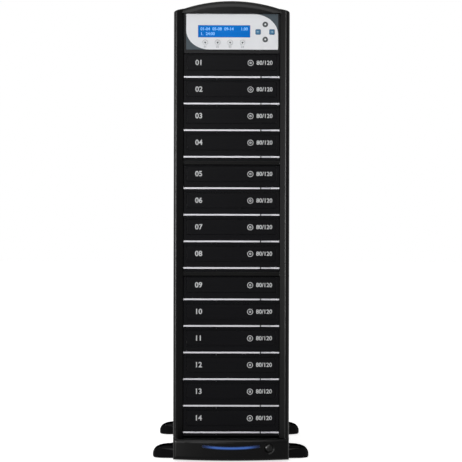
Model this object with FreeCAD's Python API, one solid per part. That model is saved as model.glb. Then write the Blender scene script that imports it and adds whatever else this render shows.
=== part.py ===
import FreeCAD, Part
import math
import os

Vector = FreeCAD.Vector

# A disc duplicator tower. Millimetres: front is -Y, right seen from the front is +X, up is +Z.
# The origin is on the floor, at the middle of the tower's outer box.

# Driving dimensions: optical drives, counted from the top
drives_per_group = (4, 4, 6)
drive_pitch = 41.4
drive_gap = 0.4
drive_bezel_depth = 8.0
drive_bezel_wall = 2.5
housing_width = 146.0
housing_depth = 162.0
housing_gap = 0.6
housing_wall = 1.0
door_width = 138.8
door_border = 5.1
door_height = 22.9
door_drop = 2.0
door_thickness = 3.0
door_proud = 0.4
door_gap = 0.3
strip_drop = 35.6
strip_height = 2.3
strip_relief = 0.4
eject_x = 53.5
eject_width = 14.0
eject_height = 2.1
eject_corner = 0.6
eject_proud = 0.9
eject_stem = 6.0
eject_gap = 0.2
eject_flange = 1.0
pinhole_x = -23.2
pinhole_below_strip = 3.5
pinhole_radius = 0.6

# Disc trays
tray_width = 129.0
tray_length = 148.0
tray_thickness = 9.0
tray_drop = 9.5
tray_gap = 0.3
disc_radius = 60.3
disc_pocket_depth = 4.5
small_disc_radius = 40.3
small_pocket_depth = 1.2
disc_centre_inset = 68.0
spindle_hole_radius = 17.0
pickup_slot_width = 28.0
pickup_slot_length = 56.0
runner_width = 4.0
runner_thickness = 2.0
deck_plate = 1.5
deck_width = 112.0
deck_length = 100.0
deck_drop = 26.0
spindle_radius = 14.0
spindle_height = 5.0

# Front bezel
pillar_width = 15.0
bezel_depth = 34.0
bezel_wall = 2.5
drive_recess = 10.0
drive_side_gap = 0.5
pillar_crest_inset = 5.0
pillar_crest_radius = 3.5
pillar_roll = 12.0
pillar_lip = 1.0
arch_rise = 17.7
arch_corner_radius = 3.0
crown_recess = 5.0
crown_roll_height = 11.5
crown_roll_depth = 6.0
crown_roll_bulge = 1.0
crown_gap = 0.4
crown_shoulder = 1.7
bar_height = 7.4
bar_depth = 14.0
bar_proud = 0.5
chin_clearance = 3.5
chin_height = 34.0
chin_bulge = 14.0
chin_end_proud = 1.0
chin_fillet = 7.0
chin_to_drives = 2.0
light_bar_width = 84.6
light_bar_height = 4.6
light_bar_sag = 2.6
light_bar_drop = 12.6
light_bar_proud = 0.4
light_bar_gap = 0.15
power_button_x = 58.3
power_button_drop = 14.6
power_button_radius = 6.2
power_button_gap = 0.3
power_button_length = 14.0
power_button_dome = 2.4
power_dish_radius = 9.3
power_dish_depth = 3.0
power_boss_wall = 3.0
power_boss_length = 9.0

# Control panel
panel_height = 62.0
panel_plate = 3.0
panel_depth = 20.0
panel_wall = 2.0
panel_box_inset = 4.5
panel_to_drives = 1.2
window_x = -12.0
window_drop = 27.6
window_width = 81.4
window_height = 19.0
window_gap = 0.2
glass_recess = 0.6
display_border = 4.0
display_depth = 8.0
circuit_board = 1.6
circuit_gap = 0.3
switch_radius = 2.5
switch_gap = 0.9
arrow_key_x = 52.0
arrow_key_radius = 4.05
up_key_drop = 16.7
down_key_drop = 40.2
square_key_size = 8.0
square_key_corner = 1.5
left_key_x = 40.8
right_key_x = 62.4
square_key_drop = 28.4
function_key_radius = 4.15
function_key_x = -41.5
function_key_pitch = 19.4
function_key_count = 4
function_key_drop = 45.1
key_proud = 0.8
key_gap = 0.25
key_flange = 1.0
key_flange_thickness = 1.0
key_flange_gap = 0.1
key_stem = 3.5

# Steel case
case_setback = 0.5
side_thickness = 0.8
side_flange = 12.0
sheet = 1.0
base_height = 24.0
chassis_depth = 385.0
chassis_top_drop = 3.0
rail_gap = 0.2
rail_depth = 150.0
frame_margin = 12.0
vent_slot_length = 70.0
vent_slot_height = 3.0
vent_slot_pitch = 8.0
vent_slot_count = 10
lower_vent_rise = 96.0
upper_vent_drop = 194.0
vent_from_rear = 60.0

# Feet
foot_span = 247.0
foot_pivot_inset = 24.0
foot_root_radius = 22.0
foot_tip_radius = 17.0
foot_wall_height = 6.5
foot_flare_length = 8.0
foot_flare_height = 20.8
foot_flare_sag = 0.8
foot_brow_length = 8.0
foot_brow_height = 17.0
foot_brow_rise = 0.9
foot_toe_height = 6.5
foot_toe_rise = 2.2
foot_toe_round = 3.0
foot_gap = 0.3
foot_front_gap = 1.0
foot_rear_inset = 77.0
foot_boss_radius = 12.0
pad_radius = 11.0
pad_thickness = 3.0
pad_proud = 1.0
pad_gap = 0.2
pivot_radius = 3.0
pivot_play = 0.05
pivot_head_radius = 5.0
pivot_head_height = 2.5
pivot_recess_depth = 6.0
pivot_recess_gap = 0.4

# Power supply, fans and mains inlet
psu_width = 150.0
psu_height = 86.0
psu_depth = 140.0
psu_wall = 1.0
psu_lift = 4.0
psu_opening_margin = 3.0
psu_corner = 13.0
psu_screw_inset = 6.5
fan_size = 80.0
fan_depth = 25.0
fan_bore_radius = 38.5
fan_corner_radius = 3.0
fan_hole_inset = 4.25
fan_hole_radius = 2.15
fan_carrier_radius = 17.0
fan_carrier_thickness = 2.5
fan_strut_width = 3.0
fan_shaft_radius = 1.5
fan_shaft_play = 0.05
fan_bush_radius = 4.0
fan_bush_length = 7.0
fan_hub_radius = 18.0
fan_hub_depth = 17.0
fan_hub_gap = 0.8
fan_blade_count = 7
fan_blade_radius = 37.5
fan_blade_chord = 20.0
fan_blade_thickness = 1.2
fan_blade_pitch_deg = 52.0
grille_ring_count = 5
grille_ring_pitch = 7.0
grille_slot = 5.0
grille_spoke = 3.0
upper_fan_drop = 94.0
fan_spacing = 120.0
psu_fan_x = -18.0
inlet_x = 48.0
inlet_above_middle = 14.0
inlet_width = 27.0
inlet_height = 19.5
inlet_depth = 18.0
inlet_wall = 1.6
inlet_flange = 2.5
inlet_flange_thickness = 2.0
inlet_corner = 2.0
pin_width = 4.0
pin_thickness = 2.0
pin_length = 11.0
pin_spacing = 14.0
pin_rise = 4.0
rocker_below_middle = 21.0
rocker_width = 10.4
rocker_height = 16.0
rocker_tilt_deg = 9.0
rocker_crown = 2.4
rocker_waist = 1.0
rocker_depth = 4.5
rocker_gap = 0.8
rocker_pin_radius = 1.0
rocker_pin_play = 0.05
rocker_pin_length = 1.2
rocker_frame_wall = 1.6
rocker_frame_depth = 10.0

# Controller board, cables and fasteners
board_width = 120.0
board_length = 140.0
board_from_frame = 110.0
board_drop = 15.0
board_hole_inset = 6.0
standoff_radius = 3.0
socket_width = 14.0
socket_length = 4.6
socket_height = 8.0
processor_size = 36.0
processor_height = 9.0
data_cable_x = 38.0
data_cable_radius = 2.2
data_cable_drop = 20.0
data_cable_bend = 18.0
first_leg = 22.0
leg_step = 5.2
harness_x = -38.0
harness_radius = 5.0
harness_bend = 15.0
harness_from_drives = 30.0
harness_exit = 15.0
branch_radius = 2.2
ribbon_width = 40.0
ribbon_thickness = 1.0
ribbon_lap = 10.0
drive_screw_drop = 31.0
drive_screw_insets = (50.0, 130.0)
drive_screw_radius = 1.4
drive_screw_head_radius = 2.8
drive_screw_head = 2.0
drive_screw_length = 4.0
screw_play = 0.1
fan_screw_radius = 2.0
fan_screw_head_radius = 3.5
fan_screw_head = 2.2
fan_screw_length = 9.0
psu_screw_radius = 1.7
psu_screw_head_radius = 3.2
psu_screw_head = 2.4
psu_screw_length = 6.0
thumb_screw_radius = 1.7
thumb_screw_head_radius = 5.0
thumb_screw_head = 7.0
thumb_screw_length = 6.0
thumb_screw_end_inset = 40.0

# How far a cutting shape runs past what it cuts
cut_run = 1.0

# Places along the depth
overall_depth = (light_bar_proud + chin_bulge + bezel_depth + chassis_depth + side_thickness
                 + thumb_screw_head)
front_y = light_bar_proud - overall_depth / 2
crest_y = front_y + chin_bulge
frame_y = crest_y + bezel_depth
rear_y = frame_y + chassis_depth
face_y = crest_y + drive_recess
housing_y = face_y + drive_bezel_depth
housing_end_y = housing_y + housing_depth
panel_back_y = face_y + panel_plate
circuit_y = panel_back_y + display_depth
chin_end_y = crest_y - chin_end_proud
psu_rear_y = rear_y - sheet
psu_front_y = psu_rear_y - psu_depth
door_back_y = face_y - door_proud + door_thickness

# Places across the width
drive_bezel_width = door_width + 2 * door_border
bezel_width = drive_bezel_width + 2 * (drive_side_gap + pillar_width)
case_width = bezel_width - 2 * case_setback
half_bezel = bezel_width / 2
half_window = drive_bezel_width / 2 + drive_side_gap
half_case = case_width / 2
half_chassis = half_case - side_thickness
crest_x = half_bezel - pillar_crest_inset
rail_x = housing_width / 2 + rail_gap
foot_pivot_x = half_case - foot_pivot_inset
foot_reach = foot_span / 2 - foot_pivot_x
front_pivot_y = frame_y + foot_front_gap + foot_root_radius
rear_pivot_y = rear_y - foot_rear_inset
thumb_screw_x = half_case - side_flange / 2

# Places up the height
drive_count = sum(drives_per_group)
bar_count = len(drives_per_group) - 1
chin_top = chin_clearance + chin_height
stack_bottom = chin_top + chin_to_drives
stack_top = stack_bottom + drive_count * drive_pitch + bar_count * bar_height
panel_bottom = stack_top + panel_to_drives
panel_top = panel_bottom + panel_height
crown_bottom = panel_top + crown_gap
arch_spring = crown_bottom + crown_shoulder
arch_top = arch_spring + arch_rise
arch_radius = (half_bezel ** 2 + arch_rise ** 2) / (2 * arch_rise)
chassis_top = panel_top - chassis_top_drop
base_top = base_height + sheet
roof_bottom = chassis_top - sheet
foot_top = base_height - foot_gap
upper_fan_z = chassis_top - upper_fan_drop
lower_fan_z = upper_fan_z - fan_spacing
psu_bottom = base_top + psu_lift
psu_middle = psu_bottom + psu_height / 2
board_top = roof_bottom - board_drop
board_bottom = board_top - circuit_board
socket_bottom = board_bottom - socket_height
light_bar_z = chin_top - light_bar_drop
power_button_z = chin_top - power_button_drop


def bay_tops():
    """Heights of the tops of the drive bays, and the middles of the crossbars, from the top down."""
    tops = []
    bars = []
    height = stack_top
    for group, count in enumerate(drives_per_group):
        for _ in range(count):
            tops.append(height)
            height -= drive_pitch
        if group < bar_count:
            bars.append(height - bar_height / 2)
            height -= bar_height
    return tops, bars


def on_front(y):
    return lambda point: Vector(point[0], y, point[1])


def on_plan(z):
    return lambda point: Vector(point[0], point[1], z)


def on_side(x):
    return lambda point: Vector(x, point[0], point[1])


def flat(place, start, *steps):
    """The face inside a closed outline: a step is a point to go straight to, or (through, end) for an arc."""
    edges = []
    here = start
    for step in steps + (start,):
        if isinstance(step[0], tuple):
            through, end = step
            edges.append(Part.Arc(place(here), place(through), place(end)).toShape())
        else:
            end = step
            if math.dist(here, end) > 1e-6:
                edges.append(Part.LineSegment(place(here), place(end)).toShape())
        here = end
    return Part.Face(Part.Wire(edges))


def prism(place, direction, start, *steps):
    return flat(place, start, *steps).extrude(direction)


def between(start, end, rise):
    """The point halfway between two points, moved square to the line by a rise, to its left."""
    run_x = end[0] - start[0]
    run_y = end[1] - start[1]
    length = math.hypot(run_x, run_y)
    return ((start[0] + end[0]) / 2 - rise * run_y / length, (start[1] + end[1]) / 2 + rise * run_x / length)


def box(x0, x1, y0, y1, z0, z1):
    return Part.makeBox(x1 - x0, y1 - y0, z1 - z0, Vector(x0, y0, z0))


def rod(radius, start, end):
    return Part.makeCylinder(radius, (end - start).Length, start, end - start)


def rod_y(radius, x, z, y0, y1):
    return rod(radius, Vector(x, y0, z), Vector(x, y1, z))


def rod_z(radius, x, y, z0, z1):
    return rod(radius, Vector(x, y, z0), Vector(x, y, z1))


def moved(shape, x=0.0, y=0.0, z=0.0):
    copy = shape.copy()
    copy.translate(Vector(x, y, z))
    return copy


def mirrored(shape):
    return shape.mirror(Vector(0, 0, 0), Vector(1, 0, 0))


def fused(shapes):
    return shapes[0].fuse(shapes[1:]).removeSplitter()


def edges_along(shape, direction):
    """The straight edges that run along a direction."""
    found = []
    for edge in shape.Edges:
        if isinstance(edge.Curve, Part.Line) and edge.Curve.Direction.cross(direction).Length < 1e-6:
            found.append(edge)
    return found


def bar(x, z, width, height, y0, y1):
    """A square bar along Y, about a place seen from the front."""
    return box(x - width / 2, x + width / 2, y0, y1, z - height / 2, z + height / 2)


def slab(x, y, width, length, z0, z1):
    """A block about a place seen from above."""
    return box(x - width / 2, x + width / 2, y - length / 2, y + length / 2, z0, z1)


def rounded_bar(x, z, width, height, corner, y0, y1):
    """A bar along Y with rounded long edges."""
    square = bar(x, z, width, height, y0, y1)
    return square.makeFillet(corner, edges_along(square, Vector(0, 1, 0)))


def save(node, solids):
    shape = solids[0] if len(solids) == 1 else Part.makeCompound(solids)
    shape.exportStep("parts/" + node + ".step")


def single(shape):
    """The one solid of a shape."""
    return shape.removeSplitter().Solids[0]


def arch_prism(inset, y0, y1, bottom):
    """The tower's front outline, drawn in by an inset, as a prism along Y."""
    half = half_bezel - inset
    radius = arch_radius - inset
    centre_z = arch_top - arch_radius
    spring = centre_z + math.sqrt(radius ** 2 - half ** 2)
    top = centre_z + radius
    return prism(on_front(y0), Vector(0, y1 - y0, 0), (-half, bottom), (half, bottom), (half, spring),
                 ((0, top), (-half, spring)))


def pillar_prism(z0, z1):
    roll_x = crest_x + pillar_crest_inset * math.cos(math.pi / 4)
    roll_y = crest_y + pillar_roll * (1 - math.sin(math.pi / 4))
    pillar = prism(on_plan(z0), Vector(0, 0, z1 - z0), (half_bezel, frame_y),
                   (half_bezel, crest_y + pillar_roll), ((roll_x, roll_y), (crest_x, crest_y)),
                   (half_window, face_y - pillar_lip), (half_window, frame_y))
    crest = [edge for edge in edges_along(pillar, Vector(0, 0, 1)) if edge.BoundBox.YMax < crest_y + 1e-6]
    return pillar.makeFillet(pillar_crest_radius, crest)


def pillar_hollow(back_y, z0, z1):
    slope = (drive_recess - pillar_lip) / (crest_x - half_window)
    offset = bezel_wall * math.sqrt(1 + slope ** 2)
    inner_x = half_window + bezel_wall
    inner_y = face_y - pillar_lip + offset - slope * bezel_wall
    return prism(on_plan(z0), Vector(0, 0, z1 - z0), (half_bezel - bezel_wall, back_y),
                 (half_bezel - bezel_wall, crest_y + pillar_roll), (crest_x, crest_y + offset),
                 (inner_x, inner_y), (inner_x, back_y))


def chin_prism(inset, back_y):
    half = half_bezel - inset
    end_y = chin_end_y + inset
    return prism(on_plan(chin_clearance + inset), Vector(0, 0, chin_height - 2 * inset), (half, back_y),
                 (half, end_y), ((0, front_y + inset), (-half, end_y)), (-half, back_y))


def chin_block(inset, back_y):
    """The chin with its rounded front edges, drawn in by an inset."""
    block = chin_prism(inset, back_y)
    front_edges = [edge for edge in block.Edges if edge.BoundBox.YMax < chin_end_y + inset + 1e-6]
    return block.makeFillet(chin_fillet - inset, front_edges)


def chin_radius():
    """The radius of the chin's front, seen from above."""
    sagitta = chin_end_y - front_y
    return (half_bezel ** 2 + sagitta ** 2) / (2 * sagitta)


def chin_surface_y(x):
    """Where the chin's front lies at a distance from the middle."""
    return front_y + chin_radius() - math.sqrt(chin_radius() ** 2 - x ** 2)


def light_bar_prism(grow):
    """The curved light bar's outline, grown all round, as a prism through the chin's front wall."""
    half = light_bar_width / 2
    rise = light_bar_sag
    middle = light_bar_z - rise / 2
    radius = (half ** 2 + rise ** 2) / (2 * rise)
    centre_z = middle + radius
    reach = light_bar_height / 2 + grow
    angle = math.asin(half / radius)
    lean = (math.sin(angle), -math.cos(angle))

    def at(side, distance):
        return (side * distance * lean[0], centre_z + distance * lean[1])

    tip_x = half + reach * math.cos(angle)
    tip_z = centre_z - radius * math.cos(angle) + reach * math.sin(angle)
    outer = radius + reach
    inner = radius - reach
    return prism(on_front(front_y - chin_bulge), Vector(0, chin_bulge + bezel_depth, 0), at(-1, outer),
                 ((0, centre_z - outer), at(1, outer)), ((tip_x, tip_z), at(1, inner)),
                 ((0, centre_z - inner), at(-1, inner)), ((-tip_x, tip_z), at(-1, outer)))


def crown_block():
    """The crown, its rolled front turned about the arch's centre."""
    half = half_window + bezel_wall
    crown_y = crest_y + crown_recess
    low_edge = (crown_y, arch_top - crown_roll_height)
    high_edge = (crown_y + crown_roll_depth, arch_top)
    root = crown_bottom - cut_run
    section = flat(on_side(0), (frame_y, root), (crown_y, root), low_edge,
                   (between(low_edge, high_edge, crown_roll_bulge), high_edge), (frame_y, arch_top))
    ring = section.revolve(Vector(0, 0, arch_top - arch_radius), Vector(0, 1, 0), 360)
    between_pillars = box(-half, half, crown_y - cut_run, frame_y + cut_run, crown_bottom, arch_top + cut_run)
    return ring.common(between_pillars)


def front_bezel(bars):
    outline = arch_prism(0, front_y - cut_run, frame_y + cut_run, chin_clearance - cut_run)
    corners = [edge for edge in edges_along(outline, Vector(0, 1, 0)) if edge.BoundBox.ZMin > crown_bottom]
    outline = outline.makeFillet(arch_corner_radius, corners)
    pillar_bottom = chin_clearance + chin_height / 2
    right = pillar_prism(pillar_bottom, arch_top).common(outline)
    pieces = [right, mirrored(right), crown_block(), chin_block(0, frame_y)]
    for middle in bars:
        pieces.append(box(-half_window - bezel_wall, half_window + bezel_wall, face_y - bar_proud,
                          face_y + bar_depth, middle - bar_height / 2 + drive_gap / 2,
                          middle + bar_height / 2 - drive_gap / 2))
    shell = fused(pieces)

    inner_outline = arch_prism(bezel_wall, front_y, frame_y + cut_run, chin_clearance)
    link_top = crown_bottom + 2 * bezel_wall
    hollow_top = roof_bottom - bezel_wall
    main_hollow = pillar_hollow(frame_y + cut_run, pillar_bottom, hollow_top)
    link = pillar_hollow(frame_y - bezel_wall, hollow_top - cut_run, link_top).common(inner_outline)
    half_hollow = half_bezel - bezel_wall
    crown_wall_y = crest_y + crown_recess + crown_roll_depth + bezel_wall
    crown_hollow = box(-half_hollow, half_hollow, crown_wall_y, frame_y - bezel_wall,
                       crown_bottom + bezel_wall, arch_top).common(inner_outline)
    hollows = [main_hollow, mirrored(main_hollow), link, mirrored(link), crown_hollow,
               chin_block(bezel_wall, frame_y + cut_run)]
    shell = shell.cut(hollows)

    surface_y = chin_surface_y(power_button_x)
    boss = rod_y(power_button_radius + power_button_gap + power_boss_wall, power_button_x, power_button_z,
                 front_y, surface_y + power_boss_length).common(chin_block(bezel_wall / 2, frame_y))
    shell = shell.fuse(boss)
    dish_ball = (power_dish_radius ** 2 + power_dish_depth ** 2) / (2 * power_dish_depth)
    outward = Vector(power_button_x, surface_y - front_y - chin_radius(), 0).normalize()
    dish_centre = Vector(power_button_x, surface_y, power_button_z) + outward * (dish_ball - power_dish_depth)
    dish = Part.makeSphere(dish_ball, dish_centre)
    hole = rod_y(power_button_radius + power_button_gap, power_button_x, power_button_z,
                 front_y, surface_y + power_boss_length + cut_run)
    return single(shell.cut([dish, hole, light_bar_slot()]))


def light_bar_slot():
    """The slot goes through the chin's front wall only."""
    wall = box(-half_bezel, half_bezel, front_y - chin_bulge, frame_y - cut_run, chin_clearance, chin_top)
    return light_bar_prism(light_bar_gap).common(wall)


def light_bar_lens():
    wall = moved(chin_prism(0, frame_y), y=-light_bar_proud).cut(chin_prism(bezel_wall, frame_y + cut_run))
    return single(light_bar_prism(0).common(wall))


def power_button():
    surface_y = chin_surface_y(power_button_x)
    ball = (power_button_radius ** 2 + power_button_dome ** 2) / (2 * power_button_dome)
    end_y = surface_y + power_button_length
    cap = rod_y(power_button_radius, power_button_x, power_button_z, surface_y, end_y)
    round_front = Part.makeSphere(ball, Vector(power_button_x, surface_y + ball, power_button_z))
    stem = rod_y(power_button_radius, power_button_x, power_button_z, surface_y + power_button_dome, end_y)
    return single(cap.common(round_front).fuse(stem))


def drive_z_range(top):
    return top - drive_pitch + drive_gap / 2, top - drive_gap / 2


def drive_bezel(top):
    half = drive_bezel_width / 2
    low, high = drive_z_range(top)
    strip_z = top - strip_drop
    body = box(-half, half, face_y, housing_y, low, high)
    rib = box(-half, half, face_y - strip_relief, face_y + housing_wall, strip_z - strip_height / 2,
              strip_z + strip_height / 2)
    body = body.fuse(rib)
    door_top = top - door_drop
    door_bottom = door_top - door_height
    opening = box(-door_width / 2 - door_gap, door_width / 2 + door_gap, face_y - cut_run,
                  housing_y + cut_run, door_bottom - door_gap, door_top + door_gap)
    half_hollow = half - drive_bezel_wall
    back_hollow = box(-half_hollow, half_hollow, face_y + drive_bezel_wall, housing_y + cut_run,
                      low + housing_wall, door_bottom - door_gap - housing_wall)
    slot = bar(eject_x, strip_z, eject_width + 2 * eject_gap, eject_height + 2 * eject_gap,
               face_y - cut_run, housing_y)
    pinhole = rod_y(pinhole_radius, pinhole_x, strip_z - pinhole_below_strip, face_y - cut_run, housing_y)
    return single(body.cut([opening, back_hollow, slot, pinhole]))


def eject_button(top):
    strip_z = top - strip_drop
    front = face_y - strip_relief - eject_proud
    flange_y = face_y + drive_bezel_wall + key_flange_gap
    cap = rounded_bar(eject_x, strip_z, eject_width, eject_height, eject_corner, front, flange_y + eject_stem)
    flange = bar(eject_x, strip_z, eject_width + 2 * eject_flange, eject_height + 2 * eject_flange,
                 flange_y, flange_y + eject_flange)
    return single(cap.fuse(flange))


def tray_door(top):
    high = top - door_drop
    return box(-door_width / 2, door_width / 2, face_y - door_proud, door_back_y, high - door_height, high)


def disc_tray(top):
    tray_top = top - tray_drop
    bottom = tray_top - tray_thickness
    centre_y = door_back_y + disc_centre_inset
    plate = box(-tray_width / 2, tray_width / 2, door_back_y, door_back_y + tray_length, bottom, tray_top)
    floor = tray_top - disc_pocket_depth
    pocket = rod_z(disc_radius, 0, centre_y, floor, tray_top + cut_run)
    small_pocket = rod_z(small_disc_radius, 0, centre_y, floor - small_pocket_depth, tray_top)
    hub_hole = rod_z(spindle_hole_radius, 0, centre_y, bottom - cut_run, tray_top)
    slot = box(-pickup_slot_width / 2, pickup_slot_width / 2, centre_y, centre_y + pickup_slot_length,
               bottom - cut_run, tray_top)
    return single(plate.cut([pocket, small_pocket, hub_hole, slot]))


def housing_z_range(top):
    return top - drive_pitch + housing_gap / 2, top - housing_gap / 2


def drive_housing(top):
    half = housing_width / 2
    low, high = housing_z_range(top)
    shell = box(-half, half, housing_y, housing_end_y, low, high)
    inside = box(housing_wall - half, half - housing_wall, housing_y - cut_run, housing_end_y - housing_wall,
                 low + housing_wall, high - housing_wall)
    shell = shell.cut(inside)
    runner_top = top - tray_drop - tray_thickness - tray_gap
    runner = box(tray_width / 2 - runner_width, half - housing_wall / 2, housing_y,
                 housing_end_y - housing_wall / 2, runner_top - runner_thickness, runner_top)
    shell = fused([shell, runner, mirrored(runner)])
    holes = []
    for inset in drive_screw_insets:
        start = Vector(-half - cut_run, housing_y + inset, top - drive_screw_drop)
        across = Vector(housing_width + 2 * cut_run, 0, 0)
        holes.append(rod(drive_screw_radius + screw_play, start, start + across))
    return single(shell.cut(holes))


def drive_deck(top):
    """The deck that carries the spindle motor, on two legs from the housing's floor."""
    low, _ = housing_z_range(top)
    floor = low + housing_wall
    high = top - deck_drop
    centre_y = door_back_y + disc_centre_inset
    half = deck_width / 2
    y0 = centre_y - deck_length / 2
    y1 = centre_y + deck_length / 2
    plate = box(-half, half, y0, y1, high - deck_plate, high)
    leg = box(half - deck_plate, half, y0, y1, floor, high)
    motor = rod_z(spindle_radius, 0, centre_y, high - deck_plate, high + spindle_height)
    return single(fused([plate, leg, mirrored(leg), motor]))


def key_places():
    """Each key's name, place and outline: a radius for a round key, or None for a square one."""
    places = [("key_up", arrow_key_x, up_key_drop, arrow_key_radius),
              ("key_down", arrow_key_x, down_key_drop, arrow_key_radius),
              ("key_left", left_key_x, square_key_drop, None),
              ("key_right", right_key_x, square_key_drop, None)]
    for index in range(function_key_count):
        places.append(("function_key_" + str(index + 1), function_key_x + index * function_key_pitch,
                       function_key_drop, function_key_radius))
    return [(name, x, panel_top - drop, radius) for name, x, drop, radius in places]


def key_bar(x, z, radius, grow, y0, y1):
    if radius is None:
        size = square_key_size + 2 * grow
        return rounded_bar(x, z, size, size, square_key_corner + grow, y0, y1)
    return rod_y(radius + grow, x, z, y0, y1)


def panel_key(x, z, radius):
    flange_y = panel_back_y + key_flange_gap
    cap = key_bar(x, z, radius, 0, face_y - key_proud, flange_y + key_stem)
    flange = key_bar(x, z, radius, key_flange, flange_y, flange_y + key_flange_thickness)
    return single(cap.fuse(flange))


def panel_box_range():
    """Half the width, the bottom and the top of the box behind the panel's plate."""
    half = drive_bezel_width / 2 - panel_box_inset
    return half, panel_bottom + panel_box_inset, panel_top - panel_box_inset


def control_panel_housing():
    half = drive_bezel_width / 2
    half_box, low, high = panel_box_range()
    plate = box(-half, half, face_y, panel_back_y, panel_bottom, panel_top)
    rim = box(-half_box, half_box, panel_back_y, face_y + panel_depth, low, high)
    inside = box(panel_wall - half_box, half_box - panel_wall, panel_back_y, face_y + panel_depth,
                 low + panel_wall, high - panel_wall)
    body = fused([plate, rim.cut(inside)])
    window_z = panel_top - window_drop
    cuts = [bar(window_x, window_z, window_width, window_height, face_y - cut_run, panel_back_y + cut_run)]
    for _, x, z, radius in key_places():
        cuts.append(key_bar(x, z, radius, key_gap, face_y - cut_run, panel_back_y + cut_run))
    return single(body.cut(cuts))


def display_module():
    window_z = panel_top - window_drop
    glass = bar(window_x, window_z, window_width - 2 * window_gap, window_height - 2 * window_gap,
                face_y + glass_recess, panel_back_y)
    frame = bar(window_x, window_z, window_width + 2 * display_border, window_height + 2 * display_border,
                panel_back_y, circuit_y)
    keep_clear = []
    for _, x, z, radius in key_places():
        keep_clear.append(key_bar(x, z, radius, key_flange + circuit_gap, panel_back_y - cut_run,
                                  circuit_y + cut_run))
    display = single(glass.fuse(frame).cut(keep_clear))

    half_box, low, high = panel_box_range()
    inset = panel_wall + circuit_gap
    circuit = box(inset - half_box, half_box - inset, circuit_y, circuit_y + circuit_board,
                  low + inset, high - inset)
    switch_y = panel_back_y + key_flange_gap + key_stem + switch_gap
    switches = [rod_y(switch_radius, x, z, switch_y, circuit_y) for _, x, z, _ in key_places()]
    return [display, single(fused([circuit] + switches))]


def fan_grille(x, z, y0, y1):
    """Ring slots of a stamped fan grille, parted by spokes."""
    spokes = []
    for turn in range(2):
        spoke = bar(x, z, 2 * fan_bore_radius, grille_spoke, y0 - cut_run, y1 + cut_run)
        spoke.rotate(Vector(x, 0, z), Vector(0, 1, 0), 45 + 90 * turn)
        spokes.append(spoke)
    slots = []
    for ring in range(grille_ring_count):
        outer = fan_bore_radius - ring * grille_ring_pitch
        slots.append(rod_y(outer, x, z, y0, y1).cut([rod_y(outer - grille_slot, x, z, y0, y1)] + spokes))
    return slots


def fan_hole_places(x, z):
    reach = fan_size / 2 - fan_hole_inset
    return [(x + sx * reach, z + sz * reach) for sx in (-1, 1) for sz in (-1, 1)]


def fan_places():
    """Each fan's rotor name, middle and rear face."""
    return [("rear_fan_rotor_upper", 0.0, upper_fan_z, psu_rear_y),
            ("rear_fan_rotor_lower", 0.0, lower_fan_z, psu_rear_y),
            ("psu_fan_rotor", psu_fan_x, psu_middle, psu_rear_y - psu_wall)]


def fan_frame(x, z, rear):
    body = rounded_bar(x, z, fan_size, fan_size, fan_corner_radius, rear - fan_depth, rear)
    body = body.cut([rod_y(fan_bore_radius, x, z, rear - fan_depth - cut_run, rear + cut_run)])
    carrier_y = rear - fan_carrier_thickness
    pieces = [body, rod_y(fan_carrier_radius, x, z, carrier_y, rear),
              rod_y(fan_bush_radius, x, z, rear - fan_bush_length, rear)]
    for turn in range(4):
        reach = fan_bore_radius + cut_run
        strut = bar(x + reach / 2, z, reach, fan_strut_width, carrier_y, rear)
        strut.rotate(Vector(x, 0, z), Vector(0, 1, 0), 90 * turn)
        pieces.append(strut)
    cuts = [rod_y(fan_shaft_radius + fan_shaft_play, x, z, rear - fan_depth, rear + cut_run)]
    for hole_x, hole_z in fan_hole_places(x, z):
        cuts.append(rod_y(fan_hole_radius, hole_x, hole_z, rear - fan_depth - cut_run, rear + cut_run))
    return single(fused(pieces).cut(cuts))


def fan_rotor(x, z, rear):
    hub_rear = rear - fan_bush_length - fan_hub_gap
    hub_front = hub_rear - fan_hub_depth
    middle = (hub_rear + hub_front) / 2
    sweep = rod_y(fan_blade_radius, x, z, hub_front, hub_rear)
    pieces = [rod_y(fan_hub_radius, x, z, hub_front, hub_rear)]
    for index in range(fan_blade_count):
        blade = box(x + fan_hub_radius / 2, x + fan_blade_radius + cut_run, middle - fan_blade_chord / 2,
                    middle + fan_blade_chord / 2, z - fan_blade_thickness / 2, z + fan_blade_thickness / 2)
        blade.rotate(Vector(x, middle, z), Vector(1, 0, 0), fan_blade_pitch_deg)
        blade.rotate(Vector(x, middle, z), Vector(0, 1, 0), 360 * index / fan_blade_count)
        pieces.append(blade.common(sweep))
    pieces.append(rod_y(fan_shaft_radius, x, z, hub_rear - cut_run, rear - fan_shaft_play))
    return single(fused(pieces))


def thumb_screw_places():
    heights = (base_height + thumb_screw_end_inset, (base_height + chassis_top) / 2,
               chassis_top - thumb_screw_end_inset)
    return [(side * thumb_screw_x, z) for side in (-1, 1) for z in heights]


def psu_screw_places():
    reach_x = psu_width / 2 - psu_screw_inset
    reach_z = psu_height / 2 - psu_screw_inset
    return [(sx * reach_x, psu_middle + sz * reach_z) for sx in (-1, 1) for sz in (-1, 1)]


def foot_pivots():
    """Each foot's name, side and pivot place along the depth."""
    return [("foot_front_left", -1, front_pivot_y), ("foot_front_right", 1, front_pivot_y),
            ("foot_rear_left", -1, rear_pivot_y), ("foot_rear_right", 1, rear_pivot_y)]


def drive_screw_lines():
    """Where each drive screw enters its rail, and the side that it is on."""
    tops, _ = bay_tops()
    places = []
    for top in tops:
        for inset in drive_screw_insets:
            for side in (-1, 1):
                places.append((side, housing_y + inset, top - drive_screw_drop))
    return places


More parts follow.
